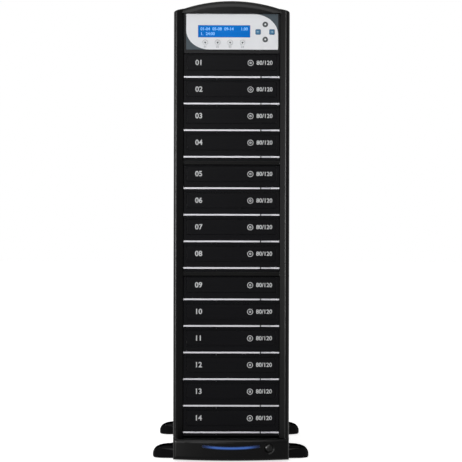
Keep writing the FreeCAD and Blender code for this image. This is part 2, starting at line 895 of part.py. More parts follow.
def chassis():
    base = box(-half_chassis, half_chassis, frame_y, psu_rear_y, base_height, base_top)
    base = base.cut([rod_z(pivot_radius + pivot_play, side * foot_pivot_x, y, base_height - cut_run,
                           base_top + cut_run) for _, side, y in foot_pivots()])
    roof = box(-half_chassis, half_chassis, frame_y, psu_rear_y, roof_bottom, chassis_top)

    rear = box(-half_chassis, half_chassis, psu_rear_y, rear_y, base_height, chassis_top)
    inside = psu_rear_y - cut_run
    outside = rear_y + cut_run
    cuts = []
    for _, x, z, rear_face in fan_places():
        if rear_face == psu_rear_y:
            cuts.extend(fan_grille(x, z, inside, outside))
            cuts.extend(rod_y(fan_screw_radius + screw_play, hole_x, hole_z, inside, outside)
                        for hole_x, hole_z in fan_hole_places(x, z))
    opening = bar(0, psu_middle, psu_width - 2 * psu_opening_margin, psu_height - 2 * psu_opening_margin,
                  inside, outside)
    corners = [bar(x, z, psu_corner, psu_corner, inside, outside) for x, z in psu_screw_places()]
    cuts.append(opening.cut(corners))
    cuts.extend(rod_y(psu_screw_radius + screw_play, x, z, inside, outside)
                for x, z in psu_screw_places())
    cuts.extend(rod_y(thumb_screw_radius + screw_play, x, z, inside, outside)
                for x, z in thumb_screw_places())
    rear = single(rear.cut(cuts))

    frame = box(-half_chassis, half_chassis, frame_y, frame_y + sheet, base_top, roof_bottom)
    frame = frame.cut(box(-rail_x, rail_x, frame_y - cut_run, frame_y + sheet + cut_run,
                          stack_bottom - drive_gap, roof_bottom - frame_margin))
    rail = box(rail_x, rail_x + sheet, frame_y + sheet, frame_y + rail_depth, base_top, roof_bottom)
    inner_x = rail_x - cut_run
    outer_x = rail_x + sheet + cut_run
    holes = [rod(drive_screw_radius + screw_play, Vector(inner_x, y, z), Vector(outer_x, y, z))
             for side, y, z in drive_screw_lines() if side > 0]
    rail = rail.cut(holes)
    return [base, roof, rear, frame, rail, mirrored(rail)]


def side_panel():
    """The right side panel, with vent slots and a flange behind the rear panel."""
    plate = box(half_chassis, half_case, frame_y, rear_y, base_height, chassis_top)
    flange = box(half_case - side_flange, half_case, rear_y, rear_y + side_thickness, base_height,
                 chassis_top)
    body = fused([plate, flange])
    cuts = [rod_y(thumb_screw_radius + screw_play, x, z, rear_y - cut_run, rear_y + side_thickness + cut_run)
            for x, z in thumb_screw_places() if x > 0]
    slot_end = rear_y - vent_from_rear
    slot_start = slot_end - vent_slot_length
    for first_z in (base_height + lower_vent_rise, chassis_top - upper_vent_drop):
        for index in range(vent_slot_count):
            z = first_z + index * vent_slot_pitch
            cuts.append(box(half_chassis - cut_run, half_case + cut_run, slot_start, slot_end, z,
                            z + vent_slot_height))
    return single(body.cut(cuts))


def foot(side, pivot_y):
    """A swing-out foot, pointing out to its side, and its rubber pad."""
    bottom = pad_proud
    tip_centre = foot_reach - foot_tip_radius
    lean = math.asin((foot_root_radius - foot_tip_radius) / tip_centre)
    root = (foot_root_radius * math.sin(lean), foot_root_radius * math.cos(lean))
    tip = (tip_centre + foot_tip_radius * math.sin(lean), foot_tip_radius * math.cos(lean))
    plan = prism(on_plan(bottom), Vector(0, 0, foot_top - bottom), (root[0], -root[1]), (tip[0], -tip[1]),
                 ((foot_reach, 0), tip), root, ((-foot_root_radius, 0), (root[0], -root[1])))
    flare_end = (foot_pivot_inset + foot_flare_length, foot_flare_height)
    brow = (foot_reach - foot_brow_length, foot_brow_height)
    flare_mid = between((foot_pivot_inset, foot_top), flare_end, -foot_flare_sag)
    brow_mid = between(flare_end, brow, foot_brow_rise)
    toe_mid = between(brow, (foot_reach, foot_toe_height), foot_toe_rise)
    sole_round = (1 - math.sqrt(0.5)) * foot_toe_round
    sole_mid = (foot_reach - sole_round, bottom + sole_round)
    profile = prism(on_front(-foot_span), Vector(0, 2 * foot_span, 0), (-foot_root_radius, bottom),
                    (foot_reach - foot_toe_round, bottom),
                    (sole_mid, (foot_reach, bottom + foot_toe_round)), (foot_reach, foot_toe_height),
                    (toe_mid, brow), (brow_mid, flare_end), (flare_mid, (foot_pivot_inset, foot_top)),
                    (-foot_root_radius, foot_top))
    wall_top = bottom + foot_wall_height
    dome = prism(on_side(-foot_span), Vector(2 * foot_span, 0, 0), (-foot_root_radius, bottom),
                 (foot_root_radius, bottom), (foot_root_radius, wall_top),
                 ((0, foot_top + foot_gap), (-foot_root_radius, wall_top)))
    body = plan.common(profile).common(dome)
    body = body.fuse(rod_z(foot_boss_radius, 0, 0, bottom, foot_top))
    pad_x = tip_centre
    recess_top = bottom + pivot_recess_depth
    body = body.cut([rod_z(pivot_radius + pivot_play, 0, 0, bottom - cut_run, foot_top + cut_run),
                     rod_z(pivot_head_radius + pivot_recess_gap, 0, 0, bottom - cut_run, recess_top),
                     rod_z(pad_radius + pad_gap, pad_x, 0, bottom - cut_run, pad_thickness)])
    pad = rod_z(pad_radius, pad_x, 0, 0, pad_thickness)
    solids = []
    for solid in (single(body), pad):
        placed = solid if side > 0 else mirrored(solid)
        solids.append(moved(placed, x=side * foot_pivot_x, y=pivot_y))
    return solids


def power_supply_case():
    half = psu_width / 2
    top = psu_bottom + psu_height
    shell = box(-half, half, psu_front_y, psu_rear_y, psu_bottom, top)
    shell = shell.cut(box(psu_wall - half, half - psu_wall, psu_front_y + psu_wall, psu_rear_y - psu_wall,
                          psu_bottom + psu_wall, top - psu_wall))
    inside = psu_rear_y - psu_wall - cut_run
    outside = psu_rear_y + cut_run
    cuts = fan_grille(psu_fan_x, psu_middle, inside, outside)
    cuts.extend(rod_y(fan_screw_radius + screw_play, x, z, inside, outside)
                for x, z in fan_hole_places(psu_fan_x, psu_middle))
    cuts.extend(rod_y(psu_screw_radius + screw_play, x, z, inside, outside)
                for x, z in psu_screw_places())
    inlet_z = psu_middle + inlet_above_middle
    cuts.append(bar(inlet_x, inlet_z, inlet_width, inlet_height, inside, outside))
    width, height = rocker_frame_size()
    rocker_z = psu_middle - rocker_below_middle
    cuts.append(bar(inlet_x, rocker_z, width, height, inside, outside))
    return single(shell.cut(cuts))


def mains_inlet():
    z = psu_middle + inlet_above_middle
    flange_y = psu_rear_y + inlet_flange_thickness
    body = bar(inlet_x, z, inlet_width, inlet_height, flange_y - inlet_depth, flange_y)
    flange = rounded_bar(inlet_x, z, inlet_width + 2 * inlet_flange, inlet_height + 2 * inlet_flange,
                         inlet_corner, psu_rear_y, flange_y)
    cavity_floor = flange_y - inlet_depth + inlet_wall
    cavity = rounded_bar(inlet_x, z, inlet_width - 2 * inlet_wall, inlet_height - 2 * inlet_wall,
                         inlet_corner, cavity_floor, flange_y + cut_run)
    pins = []
    for step in (-1, 0, 1):
        rise = pin_rise * (0.5 - abs(step))
        pins.append(bar(inlet_x + step * pin_spacing / 2, z + rise, pin_thickness, pin_width,
                        cavity_floor - inlet_wall / 2, cavity_floor + pin_length))
    return single(fused([body.fuse(flange).cut(cavity)] + pins))


def rocker_frame_size():
    """The width and height of the switch frame where it passes through the case wall."""
    wall = rocker_frame_wall + rocker_gap
    return rocker_width + 2 * wall, rocker_height + 2 * wall


def rocker_pivot():
    return Vector(inlet_x, psu_rear_y, psu_middle - rocker_below_middle)


def rocker_frame():
    pivot = rocker_pivot()
    width, height = rocker_frame_size()
    flange_y = psu_rear_y + inlet_flange_thickness
    floor_y = flange_y - rocker_frame_depth
    wall = rocker_frame_wall
    body = bar(pivot.x, pivot.z, width, height, floor_y, flange_y)
    flange = bar(pivot.x, pivot.z, width + 2 * inlet_flange, height + 2 * inlet_flange, psu_rear_y, flange_y)
    well = bar(pivot.x, pivot.z, width - 2 * wall, height - 2 * wall, floor_y + wall, flange_y + cut_run)
    reach = Vector(rocker_width / 2 + rocker_gap + rocker_pin_length, 0, 0)
    bore = rod(rocker_pin_radius + rocker_pin_play, pivot - reach, pivot + reach)
    return single(body.fuse(flange).cut([well, bore]))


def mains_switch_rocker():
    """The rocker lies tipped to one side, about a pivot in line with the case's rear face."""
    pivot = rocker_pivot()
    half = rocker_height / 2
    body = prism(on_side(-rocker_width / 2), Vector(rocker_width, 0, 0), (rocker_crown, -half),
                 (rocker_waist, 0), (rocker_crown, half), (-rocker_crown, half), (-rocker_depth, 0),
                 (-rocker_crown, -half))
    reach = rocker_width / 2 + rocker_gap + rocker_pin_length - rocker_pin_play
    pin = rod(rocker_pin_radius, Vector(-reach, 0, 0), Vector(reach, 0, 0))
    rocker = single(body.fuse(pin))
    rocker.rotate(Vector(0, 0, 0), Vector(1, 0, 0), -rocker_tilt_deg)
    return moved(rocker, pivot.x, pivot.y, pivot.z)


def board_y_range():
    return frame_y + board_from_frame, frame_y + board_from_frame + board_length


def leg_y(index):
    """How far back the rising leg of a drive's data cable is, counted from the top drive."""
    return housing_end_y + first_leg + index * leg_step


def controller_board():
    y0, y1 = board_y_range()
    half = board_width / 2
    solids = [box(-half, half, y0, y1, board_bottom, board_top)]
    for index in range(drive_count):
        y = leg_y(index)
        solids.append(slab(data_cable_x, y, socket_width, socket_length, socket_bottom, board_bottom))
    solids.append(slab(-half / 2, (y0 + y1) / 2, processor_size, processor_size,
                       board_bottom - processor_height, board_bottom))
    for x in (board_hole_inset - half, half - board_hole_inset):
        for y in (y0 + board_hole_inset, y1 - board_hole_inset):
            solids.append(rod_z(standoff_radius, x, y, board_top, roof_bottom))
    return solids


def cable(radius, x, y0, z0, y1, z1, bend):
    """A cable that runs level from y0, turns up in one arc, and rises at y1 to z1."""
    toward = 1 if y1 > y0 else -1
    corner = Vector(x, y1 - toward * bend * (1 - math.sqrt(0.5)), z0 + bend * (1 - math.sqrt(0.5)))
    level_end = Vector(x, y1 - toward * bend, z0)
    rise_start = Vector(x, y1, z0 + bend)
    start = Vector(x, y0, z0)
    path = Part.Wire([Part.LineSegment(start, level_end).toShape(),
                      Part.Arc(level_end, corner, rise_start).toShape(),
                      Part.LineSegment(rise_start, Vector(x, y1, z1)).toShape()])
    section = Part.Wire([Part.Circle(start, Vector(0, 1, 0), radius).toShape()])
    return path.makePipeShell([section], True, True)


def internal_cables(tops):
    solids = []
    for index, top in enumerate(tops):
        solids.append(cable(data_cable_radius, data_cable_x, housing_end_y, top - data_cable_drop,
                            leg_y(index), socket_bottom, data_cable_bend))
    trunk_y = housing_end_y + harness_from_drives
    trunk = cable(harness_radius, harness_x, psu_front_y, psu_bottom + harness_exit, trunk_y,
                  tops[0] - data_cable_drop + harness_radius, harness_bend)
    branches = [rod_y(branch_radius, harness_x, top - data_cable_drop, housing_end_y, trunk_y)
                for top in tops]
    solids.append(single(fused([trunk] + branches)))
    board_y, _ = board_y_range()
    solids.append(box(-ribbon_width / 2, ribbon_width / 2, circuit_y + circuit_board, board_y + ribbon_lap,
                      board_bottom - ribbon_thickness, board_bottom))
    return solids


def screw_y(radius, head_radius, head, length, x, z, face):
    """A screw whose head lies behind a rear face, with its shank pointing forward."""
    shank = rod_y(radius, x, z, face - length, face + head / 2)
    return fused([rod_y(head_radius, x, z, face, face + head), shank])


def fasteners():
    solids = []
    for side, y, z in drive_screw_lines():
        outer = rail_x + sheet
        face = Vector(side * outer, y, z)
        outward = Vector(side, 0, 0)
        head = rod(drive_screw_head_radius, face, face + outward * drive_screw_head)
        shank = rod(drive_screw_radius, face - outward * drive_screw_length,
                    face + outward * (drive_screw_head / 2))
        solids.append(fused([head, shank]))
    for _, x, z, rear_face in fan_places():
        outer = rear_face + (sheet if rear_face == psu_rear_y else psu_wall)
        for hole_x, hole_z in fan_hole_places(x, z):
            solids.append(screw_y(fan_screw_radius, fan_screw_head_radius, fan_screw_head, fan_screw_length,
                                  hole_x, hole_z, outer))
    for x, z in psu_screw_places():
        solids.append(screw_y(psu_screw_radius, psu_screw_head_radius, psu_screw_head, psu_screw_length,
                              x, z, rear_y))
    for x, z in thumb_screw_places():
        solids.append(screw_y(thumb_screw_radius, thumb_screw_head_radius, thumb_screw_head,
                              thumb_screw_length, x, z, rear_y + side_thickness))
    for _, side, y in foot_pivots():
        x = side * foot_pivot_x
        head_top = pad_proud + pivot_recess_depth - foot_gap
        solids.append(fused([rod_z(pivot_head_radius, x, y, head_top - pivot_head_height, head_top),
                             rod_z(pivot_radius, x, y, head_top, base_top),
                             rod_z(pivot_head_radius, x, y, base_top, base_top + pivot_head_height)]))
    return [single(solid) for solid in solids]


def build():
    os.makedirs("parts", exist_ok=True)
    tops, bars = bay_tops()
    save("front_bezel", [front_bezel(bars)])
    save("light_bar_lens", [light_bar_lens()])
    save("power_button", [power_button()])
    save("control_panel_housing", [control_panel_housing()])
    save("lcd_module", display_module())
    for name, x, z, radius in key_places():
        save(name, [panel_key(x, z, radius)])
    save("drive_bezels", [drive_bezel(top) for top in tops])
    housings = [drive_housing(top) for top in tops]
    save("drive_housings", housings + [drive_deck(top) for top in tops])
    for index, top in enumerate(tops):
        number = f"{index + 1:02d}"
        save("tray_" + number, [tray_door(top), disc_tray(top)])
        save("eject_button_" + number, [eject_button(top)])
    save("chassis", chassis())
    right_panel = side_panel()
    save("side_panel_right", [right_panel])
    save("side_panel_left", [mirrored(right_panel)])
    for name, side, pivot_y in foot_pivots():
        save(name, foot(side, pivot_y))
    save("power_supply_case", [power_supply_case()])
    save("mains_inlet", [mains_inlet(), rocker_frame()])
    save("mains_switch_rocker", [mains_switch_rocker()])
    save("fan_frames", [fan_frame(x, z, rear) for _, x, z, rear in fan_places()])
    for name, x, z, rear in fan_places():
        save(name, [fan_rotor(x, z, rear)])
    save("controller_board", controller_board())
    save("internal_cables", internal_cables(tops))
    save("fasteners", fasteners())


build()
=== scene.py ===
import math

import bmesh
import bpy
from mathutils import Matrix, Vector


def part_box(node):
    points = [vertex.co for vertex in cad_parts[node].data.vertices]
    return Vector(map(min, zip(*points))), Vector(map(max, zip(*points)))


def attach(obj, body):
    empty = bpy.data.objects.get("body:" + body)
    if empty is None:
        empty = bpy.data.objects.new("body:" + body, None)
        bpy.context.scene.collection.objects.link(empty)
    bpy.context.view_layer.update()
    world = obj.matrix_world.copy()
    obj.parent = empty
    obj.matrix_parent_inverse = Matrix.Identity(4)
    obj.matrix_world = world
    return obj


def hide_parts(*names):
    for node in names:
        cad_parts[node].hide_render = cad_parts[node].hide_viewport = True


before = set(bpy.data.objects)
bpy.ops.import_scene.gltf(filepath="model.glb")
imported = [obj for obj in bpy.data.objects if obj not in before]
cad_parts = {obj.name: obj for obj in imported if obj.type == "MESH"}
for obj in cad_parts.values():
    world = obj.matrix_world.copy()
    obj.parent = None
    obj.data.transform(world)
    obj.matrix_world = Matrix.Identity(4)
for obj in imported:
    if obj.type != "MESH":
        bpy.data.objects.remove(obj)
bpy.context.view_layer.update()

mm = 0.001
towerBody = "tower"
bayCount = 14
print("frame loaded:", len(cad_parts), "nodes")


# node maths: a socket that takes part in plain expressions
class Sock:
    def __init__(self, finish, out):
        self.finish = finish
        self.out = out

    def maths(self, operation, *values):
        return self.finish.node("ShaderNodeMath", {"operation": operation}, values)

    def __add__(self, other):
        return self.maths("ADD", self, other)

    def __radd__(self, other):
        return self.maths("ADD", other, self)

    def __sub__(self, other):
        return self.maths("SUBTRACT", self, other)

    def __rsub__(self, other):
        return self.maths("SUBTRACT", other, self)

    def __mul__(self, other):
        return self.maths("MULTIPLY", self, other)

    def __truediv__(self, other):
        return self.maths("DIVIDE", self, other)

    def __gt__(self, other):
        return self.maths("GREATER_THAN", self, other)

    def __lt__(self, other):
        return self.maths("LESS_THAN", self, other)

    def __mod__(self, other):
        return self.maths("FLOORED_MODULO", self, other)

    def __abs__(self):
        return self.maths("ABSOLUTE", self)


class Finish:
    def __init__(self, name, holders=bpy.data.materials):
        self.holder = holders.new(name)
        self.holder.use_nodes = True
        self.tree = self.holder.node_tree
        self.output = next(node for node in self.tree.nodes if "Output" in node.bl_idname)
        self.shader = self.output.inputs["Surface"].links[0].from_node
        self.place = self.node("ShaderNodeTexCoord", out="Object")

    def node(self, kind, settings=None, values=(), out=0):
        made = self.tree.nodes.new(kind)
        for key, value in (settings or {}).items():
            setattr(made, key, value)
        for key, value in (values.items() if isinstance(values, dict) else enumerate(values)):
            self.feed(made.inputs[key], value)
        return Sock(self, made.outputs[out])

    def feed(self, socket, value):
        if isinstance(value, Sock):
            self.tree.links.new(value.out, socket)
        else:
            socket.default_value = value

    def give(self, values):
        for name, value in values.items():
            self.feed(self.shader.inputs[name], value)

    def noise(self, scale, detail=2.0, stretch=None):
        place = self.place
        if stretch:
            place = self.node("ShaderNodeMapping", values={"Vector": place, "Scale": stretch})
        return self.node("ShaderNodeTexNoise", values={"Vector": place, "Scale": scale, "Detail": detail})

    def axes(self, vector=None):
        parts = self.node("ShaderNodeSeparateXYZ", values=[vector or self.place])
        outputs = parts.out.node.outputs
        return [Sock(self, outputs[index]) for index in range(3)]

    def mix(self, factor, first, second):
        return self.node("ShaderNodeMix", {"data_type": "RGBA"}, {0: factor, 6: first, 7: second}, out=2)

    def bump(self, height, strength, distance):
        values = {"Height": height, "Strength": strength, "Distance": distance * mm}
        return self.node("ShaderNodeBump", values=values)

    def ease(self, value, start, end, low=0.0, high=1.0):
        return self.node("ShaderNodeMapRange", {"interpolation_type": "SMOOTHSTEP"},
                         {"Value": value, "From Min": start, "From Max": end, "To Min": low, "To Max": high})

    # 1 for what the camera sees, straight or in a mirror or through glass
    def seenPath(self):
        seen = self.node("ShaderNodeLightPath", out="Is Camera Ray")
        rays = seen.out.node.outputs
        for name in ("Is Glossy Ray", "Is Transmission Ray"):
            seen = seen.maths("MAXIMUM", seen, Sock(self, rays[name]))
        return seen

    def finishWith(self, surface):
        self.tree.nodes.remove(self.shader)
        self.feed(self.output.inputs["Surface"], surface)
        return self.holder


def tint(color, gain=1.0):
    return (color[0] * gain, color[1] * gain, color[2] * gain, 1.0)


# moulded and painted surfaces: a slow drift in shade and polish, and a fine grain
def mouldedPlastic(name, color, rough, specular, grain, strength, drift=0.1, polish=0.1):
    finish = Finish(name)
    broad = finish.noise(11, 3)
    fine = finish.noise(grain, 2)
    finish.give({
        "Base Color": finish.mix(broad, tint(color, 1 - drift), tint(color, 1 + drift)),
        "Roughness": rough + (broad - 0.5) * polish + (fine - 0.5) * polish,
        "Specular IOR Level": specular,
        "Normal": finish.bump(fine, strength, 0.05),
    })
    return finish.holder


# glossy plastic with painted shade: upward faces lose their coat, so their tops show no reflection
def topShadedGloss(name, color, gloss):
    finish = Finish(name)
    broad = finish.noise(11, 3)
    fine = finish.noise(500, 2)
    upward = finish.axes(finish.node("ShaderNodeNewGeometry", out="Normal"))[2]
    finish.give({
        "Base Color": finish.mix(broad, tint(color, 0.8), tint(color, 1.2)),
        "Roughness": 0.5 + (fine - 0.5) * 0.2,
        "Specular IOR Level": 0.0,
        # painted shade: the coat fades out on faces that point up
        "Coat Weight": finish.ease(upward, 0.9, 0.65) * gloss,
        "Coat Roughness": 0.14,
        "Normal": finish.bump(fine, 0.02, 0.05),
    })
    return finish.holder


def powderCoat(name, color, rough, specular):
    finish = Finish(name)
    broad = finish.noise(8, 3)
    peel = finish.noise(900, 3)
    speck = finish.noise(2600, 1)
    finish.give({
        "Base Color": finish.mix(speck, tint(color, 0.75), tint(color, 1.3)),
        "Roughness": rough + (broad - 0.5) * 0.12 + (peel - 0.5) * 0.1,
        "Specular IOR Level": specular,
        "Normal": finish.bump(peel, 0.3, 0.08),
    })
    return finish.holder


def zincPlate(name, color, rough):
    finish = Finish(name)
    spangle = finish.node("ShaderNodeTexVoronoi", values={"Vector": finish.place, "Scale": 160.0},
                          out="Color")
    flake = finish.node("ShaderNodeSeparateColor", values=[spangle])
    haze = finish.noise(30, 4)
    brushed = finish.noise(240, 2, (1.0, 1.0, 14.0))
    finish.give({
        "Base Color": finish.mix(flake * 0.5 + haze * 0.5, tint(color, 0.82), tint(color, 1.1)),
        "Metallic": 1.0,
        "Roughness": rough + (flake - 0.5) * 0.14 + (haze - 0.5) * 0.16,
        "Normal": finish.bump(brushed, 0.08, 0.03),
    })
    return finish.holder


def silverPaint(name, color, rough):
    finish = Finish(name)
    flake = finish.noise(5200, 1)
    broad = finish.noise(40, 2)
    finish.give({
        "Base Color": finish.mix(flake * 0.6 + broad * 0.4, tint(color, 0.9), tint(color, 1.06)),
        "Metallic": 0.15,
        "Roughness": rough + (flake - 0.5) * 0.14,
        "Specular IOR Level": 0.25,
        "Normal": finish.bump(flake, 0.06, 0.02),
    })
    return finish.holder


def printedFilm(name, color, rough=0.5, drift=0.03):
    finish = Finish(name)
    weave = finish.noise(3200, 2)
    cloud = finish.noise(14, 3)
    finish.give({
        "Base Color": finish.mix(weave * 0.4 + cloud * 0.6, tint(color, 1 - drift), tint(color, 1 + drift)),
        "Roughness": rough + (weave - 0.5) * 0.12,
        "Specular IOR Level": 0.12,
        "Normal": finish.bump(weave, 0.08, 0.02),
    })
    return finish.holder


def ink(name, color):
    finish = Finish(name)
    speck = finish.noise(4200, 2)
    finish.give({
        "Base Color": finish.mix(speck, tint(color, 0.8), tint(color, 1.12)),
        "Roughness": 0.6 + (speck - 0.5) * 0.15,
        "Specular IOR Level": 0.2,
    })
    return finish.holder


# the lit display: a character grid of faint cells, a little brighter in the middle
def litDisplay(name, color, low, high):
    columns, rows, cellShare = 22, 2.6, 0.42
    finish = Finish(name)
    x, _, z = finish.axes()
    cellWidth = (high.x - low.x) / columns
    cellHeight = (high.z - low.z) / rows
    inX = abs((x - low.x) % cellWidth - cellWidth / 2) < cellWidth * cellShare
    inZ = abs((z - (low.z + high.z) / 2) % cellHeight - cellHeight / 2) < cellHeight * cellShare
    side = abs(x - (low.x + high.x) / 2) / (high.x - low.x)
    glow = 1.05 - side * 0.25 - inX * inZ * 0.06
    finish.give({
        "Base Color": finish.mix(inX * inZ, tint(color, 0.06), tint(color, 0.05)),
        "Roughness": 0.16 + finish.noise(60, 2) * 0.06,
        "Specular IOR Level": 0.05,
        "Emission Color": finish.mix(glow, tint(color, 0.0), tint(color)),
        "Emission Strength": 1.0,
    })
    return finish.holder


def litDigits(name):
    finish = Finish(name)
    speck = finish.noise(2500, 1)
    finish.give({
        "Base Color": finish.mix(speck, tint((0.02, 0.05, 0.1)), tint((0.03, 0.06, 0.11))),
        "Roughness": 0.4,
        "Emission Color": finish.mix(speck, tint((0.1, 0.4, 0.84)), tint((0.14, 0.46, 0.92))),
        "Emission Strength": 1.0,
    })
    return finish.holder


# the light bar: brightest along its middle line, fading to its ends
def litLens(name, dim, bright, low, high):
    sag, halfHeight = 2.6 * mm, 2.3 * mm
    finish = Finish(name)
    x, _, z = finish.axes()
    along = abs(x - (low.x + high.x) / 2) / ((high.x - low.x) / 2)
    sagged = z - along * along * sag
    across = abs(sagged - (low.z + halfHeight)) / halfHeight
    ends = finish.ease(along, 1.0, 0.48)
    core = finish.ease(across, 1.0, 0.1, 0.1, 1.0)
    frost = finish.noise(700, 2)
    finish.give({
        "Base Color": finish.mix(frost, tint(dim, 0.15), tint(dim, 0.3)),
        "Roughness": 0.22 + frost * 0.1,
        "Specular IOR Level": 0.15,
        "Emission Color": finish.mix(ends * core, tint(dim, 0.04), tint(bright)),
        "Emission Strength": 1.0,
    })
    return finish.holder


maskGreen = tint((0.012, 0.11, 0.04))


# slanting copper tracks across a circuit board
def boardTracks(along, across, pitch, width):
    return abs((along + across * 0.5) % (pitch * mm) - pitch / 2 * mm) < width / 2 * mm


# the controller board: green mask with copper tracks, black sockets, bare metal on the rest, parted by place
def solderMask(name, top, socketX):
    plateTop, plateBottom, socketTop = top - 14.9 * mm, top - 17.2 * mm, top - 15 * mm
    finish = Finish(name)
    x, y, z = finish.axes()
    inPlate = (z > plateBottom) * (z < plateTop)
    tracks = boardTracks(x, y, 4.0, 1.0)
    patch = finish.noise(90, 2) > 0.5
    mask = finish.mix(tracks * patch, maskGreen, tint((0.03, 0.2, 0.08)))
    inSocket = (x > socketX) * (z < socketTop)
    parts = finish.mix(inSocket, tint((0.42, 0.42, 0.4)), tint((0.02, 0.02, 0.022)))
    finish.give({
        "Base Color": finish.mix(inPlate, parts, mask),
        "Roughness": 0.45 - tracks * 0.1,
        "Specular IOR Level": 0.4,
    })
    return finish.holder


def displayBack(name, boardY):
    finish = Finish(name)
    x, y, z = finish.axes()
    mask = finish.mix(boardTracks(x, z, 3.0, 0.8), maskGreen, tint((0.03, 0.18, 0.08)))
    finish.give({
        "Base Color": finish.mix(y > boardY, tint((0.02, 0.05, 0.14)), mask),
        "Roughness": 0.3 + finish.noise(80, 2) * 0.2,
    })
    return finish.holder


# cables, parted by place: red data cables at the right, the harness at the left, the ribbon between them
def cableJacket(name):
    sideX = 22 * mm
    finish = Finish(name)
    x, _, _ = finish.axes()
    ribs = finish.noise(1500, 1)
    dataRed = tint((0.32, 0.02, 0.02))
    harness = finish.mix(finish.noise(400, 1) > 0.55, tint((0.02, 0.02, 0.02)), tint((0.3, 0.2, 0.02)))
    ribbon = tint((0.3, 0.3, 0.31))
    finish.give({
        "Base Color": finish.mix(x > sideX, finish.mix(x < -sideX, ribbon, harness), dataRed),
        "Roughness": 0.5 + (ribs - 0.5) * 0.2,
    })
    return finish.holder


# the mains inlet: black moulding with bare metal blades inside the socket
def inletPlastic(name, low, high):
    bladePitch, bladeHalf, halfWidth = 7 * mm, 1.05 * mm, 9 * mm
    tipY, rootY = high.y - 2.5 * mm, high.y - 16.3 * mm
    bladeZ, bladeReach = high.z - 12.25 * mm, 5 * mm
    finish = Finish(name)
    x, y, z = finish.axes()
    middleX = (low.x + high.x) / 2
    nearBlade = abs((x - middleX + bladePitch / 2) % bladePitch - bladePitch / 2) < bladeHalf
    inside = (y < tipY) * (y > rootY) * (abs(x - middleX) < halfWidth)
    blade = nearBlade * inside * (abs(z - bladeZ) < bladeReach)
    grain = finish.noise(1700, 2)
    finish.give({
        "Base Color": finish.mix(blade, tint((0.013, 0.013, 0.014)), tint((0.62, 0.6, 0.52))),
        "Metallic": blade,
        "Roughness": 0.5 - blade * 0.25 + (grain - 0.5) * 0.12,
        "Specular IOR Level": 0.3,
        "Normal": finish.bump(grain, 0.15, 0.04),
    })
    return finish.holder


bezelPlastic = mouldedPlastic("bezelPlastic", (0.0006, 0.0006, 0.0007), 0.3, 0.078, 1500, 0.02, polish=0.03)
panelPlastic = mouldedPlastic("panelPlastic", (0.01, 0.01, 0.011), 0.4, 0.07, 1500, 0.1)
drivePlastic = mouldedPlastic("drivePlastic", (0.0022, 0.0022, 0.003), 0.4, 0.042, 2200, 0.2)
trayPlastic = mouldedPlastic("trayPlastic", (0.017, 0.017, 0.018), 0.5, 0.3, 1300, 0.25)
fanPlastic = mouldedPlastic("fanPlastic", (0.014, 0.014, 0.015), 0.42, 0.35, 900, 0.15)
footPlastic = topShadedGloss("footPlastic", (0.001, 0.001, 0.0016), 0.1)
buttonPlastic = mouldedPlastic("buttonPlastic", (0.003, 0.003, 0.003), 0.3, 0.14, 1200, 0.04)
padRubber = mouldedPlastic("padRubber", (0.02, 0.02, 0.02), 0.8, 0.2, 1100, 0.5)
caseSteel = powderCoat("caseSteel", (0.0075, 0.0075, 0.008), 0.42, 0.14)
zincSteel = zincPlate("zincSteel", (0.56, 0.57, 0.58), 0.38)
screwSteel = zincPlate("screwSteel", (0.5, 0.5, 0.5), 0.3)
stripSilver = silverPaint("stripSilver", (0.63, 0.622, 0.66), 0.42)
ejectSilver = silverPaint("ejectSilver", (0.56, 0.56, 0.6), 0.4)
paleFilm = printedFilm("paleFilm", (0.79, 0.80, 0.825))
slateFilm = printedFilm("slateFilm", (0.056, 0.074, 0.088), 0.6, 0.06)
greyKey = mouldedPlastic("greyKey", (0.05, 0.058, 0.063), 0.5, 0.2, 2400, 0.1)
blueKey = mouldedPlastic("blueKey", (0.022, 0.135, 0.27), 0.48, 0.3, 2400, 0.1)
paleKey = mouldedPlastic("paleKey", (0.74, 0.75, 0.77), 0.5, 0.3, 2400, 0.1, drift=0.03)
whiteInk = ink("whiteInk", (0.72, 0.73, 0.74))
doorInk = ink("doorInk", (0.6, 0.61, 0.62))
# dark print on the round keys, and the painted shade of the screw recesses
darkPrintAndShade = ink("darkPrintAndShade", (0.03, 0.035, 0.04))
blueInk = ink("blueInk", (0.3, 0.5, 0.62))
ringInk = ink("ringInk", (0.45, 0.46, 0.48))
labelInk = ink("labelInk", (0.3, 0.32, 0.34))
darkLens = mouldedPlastic("darkLens", (0.003, 0.004, 0.003), 0.2, 0.1, 300, 0.02)
# painted shade: a dead black for the strips that darken the gaps between drive groups
gapShadeStrip = mouldedPlastic("gapShadeStrip", (0.0006, 0.0006, 0.0007), 0.9, 0.0, 900, 0.4)
print("finishes made:", len(bpy.data.materials))


# meshes
draft = {"weld": 0.002, "flatAngle": 0.5, "discSides": 32, "curveSteps": 12, "letterSteps": 4,
         "letterThick": 0.03, "quarterPull": 0.5523}
uprightTurn = Matrix.Rotation(math.pi / 2, 4, "X")


# a node's shape, welded and with its flat faces whole
def merged(node):
    bm = bmesh.new()
    bm.from_mesh(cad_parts[node].data)
    bmesh.ops.remove_doubles(bm, verts=bm.verts, dist=draft["weld"] * mm)
    bmesh.ops.dissolve_limit(bm, angle_limit=math.radians(draft["flatAngle"]), verts=bm.verts, edges=bm.edges)
    return bm


def settle(name, bm, finishes, body, stands=(), smooth=True):
    for face in bm.faces:
        face.smooth = smooth
    mesh = bpy.data.meshes.new(name)
    bm.to_mesh(mesh)
    bm.free()
    for finish in finishes:
        mesh.materials.append(finish)
    piece = bpy.data.objects.new(name, mesh)
    bpy.context.scene.collection.objects.link(piece)
    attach(piece, body)
    if stands:
        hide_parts(*stands)
    return piece


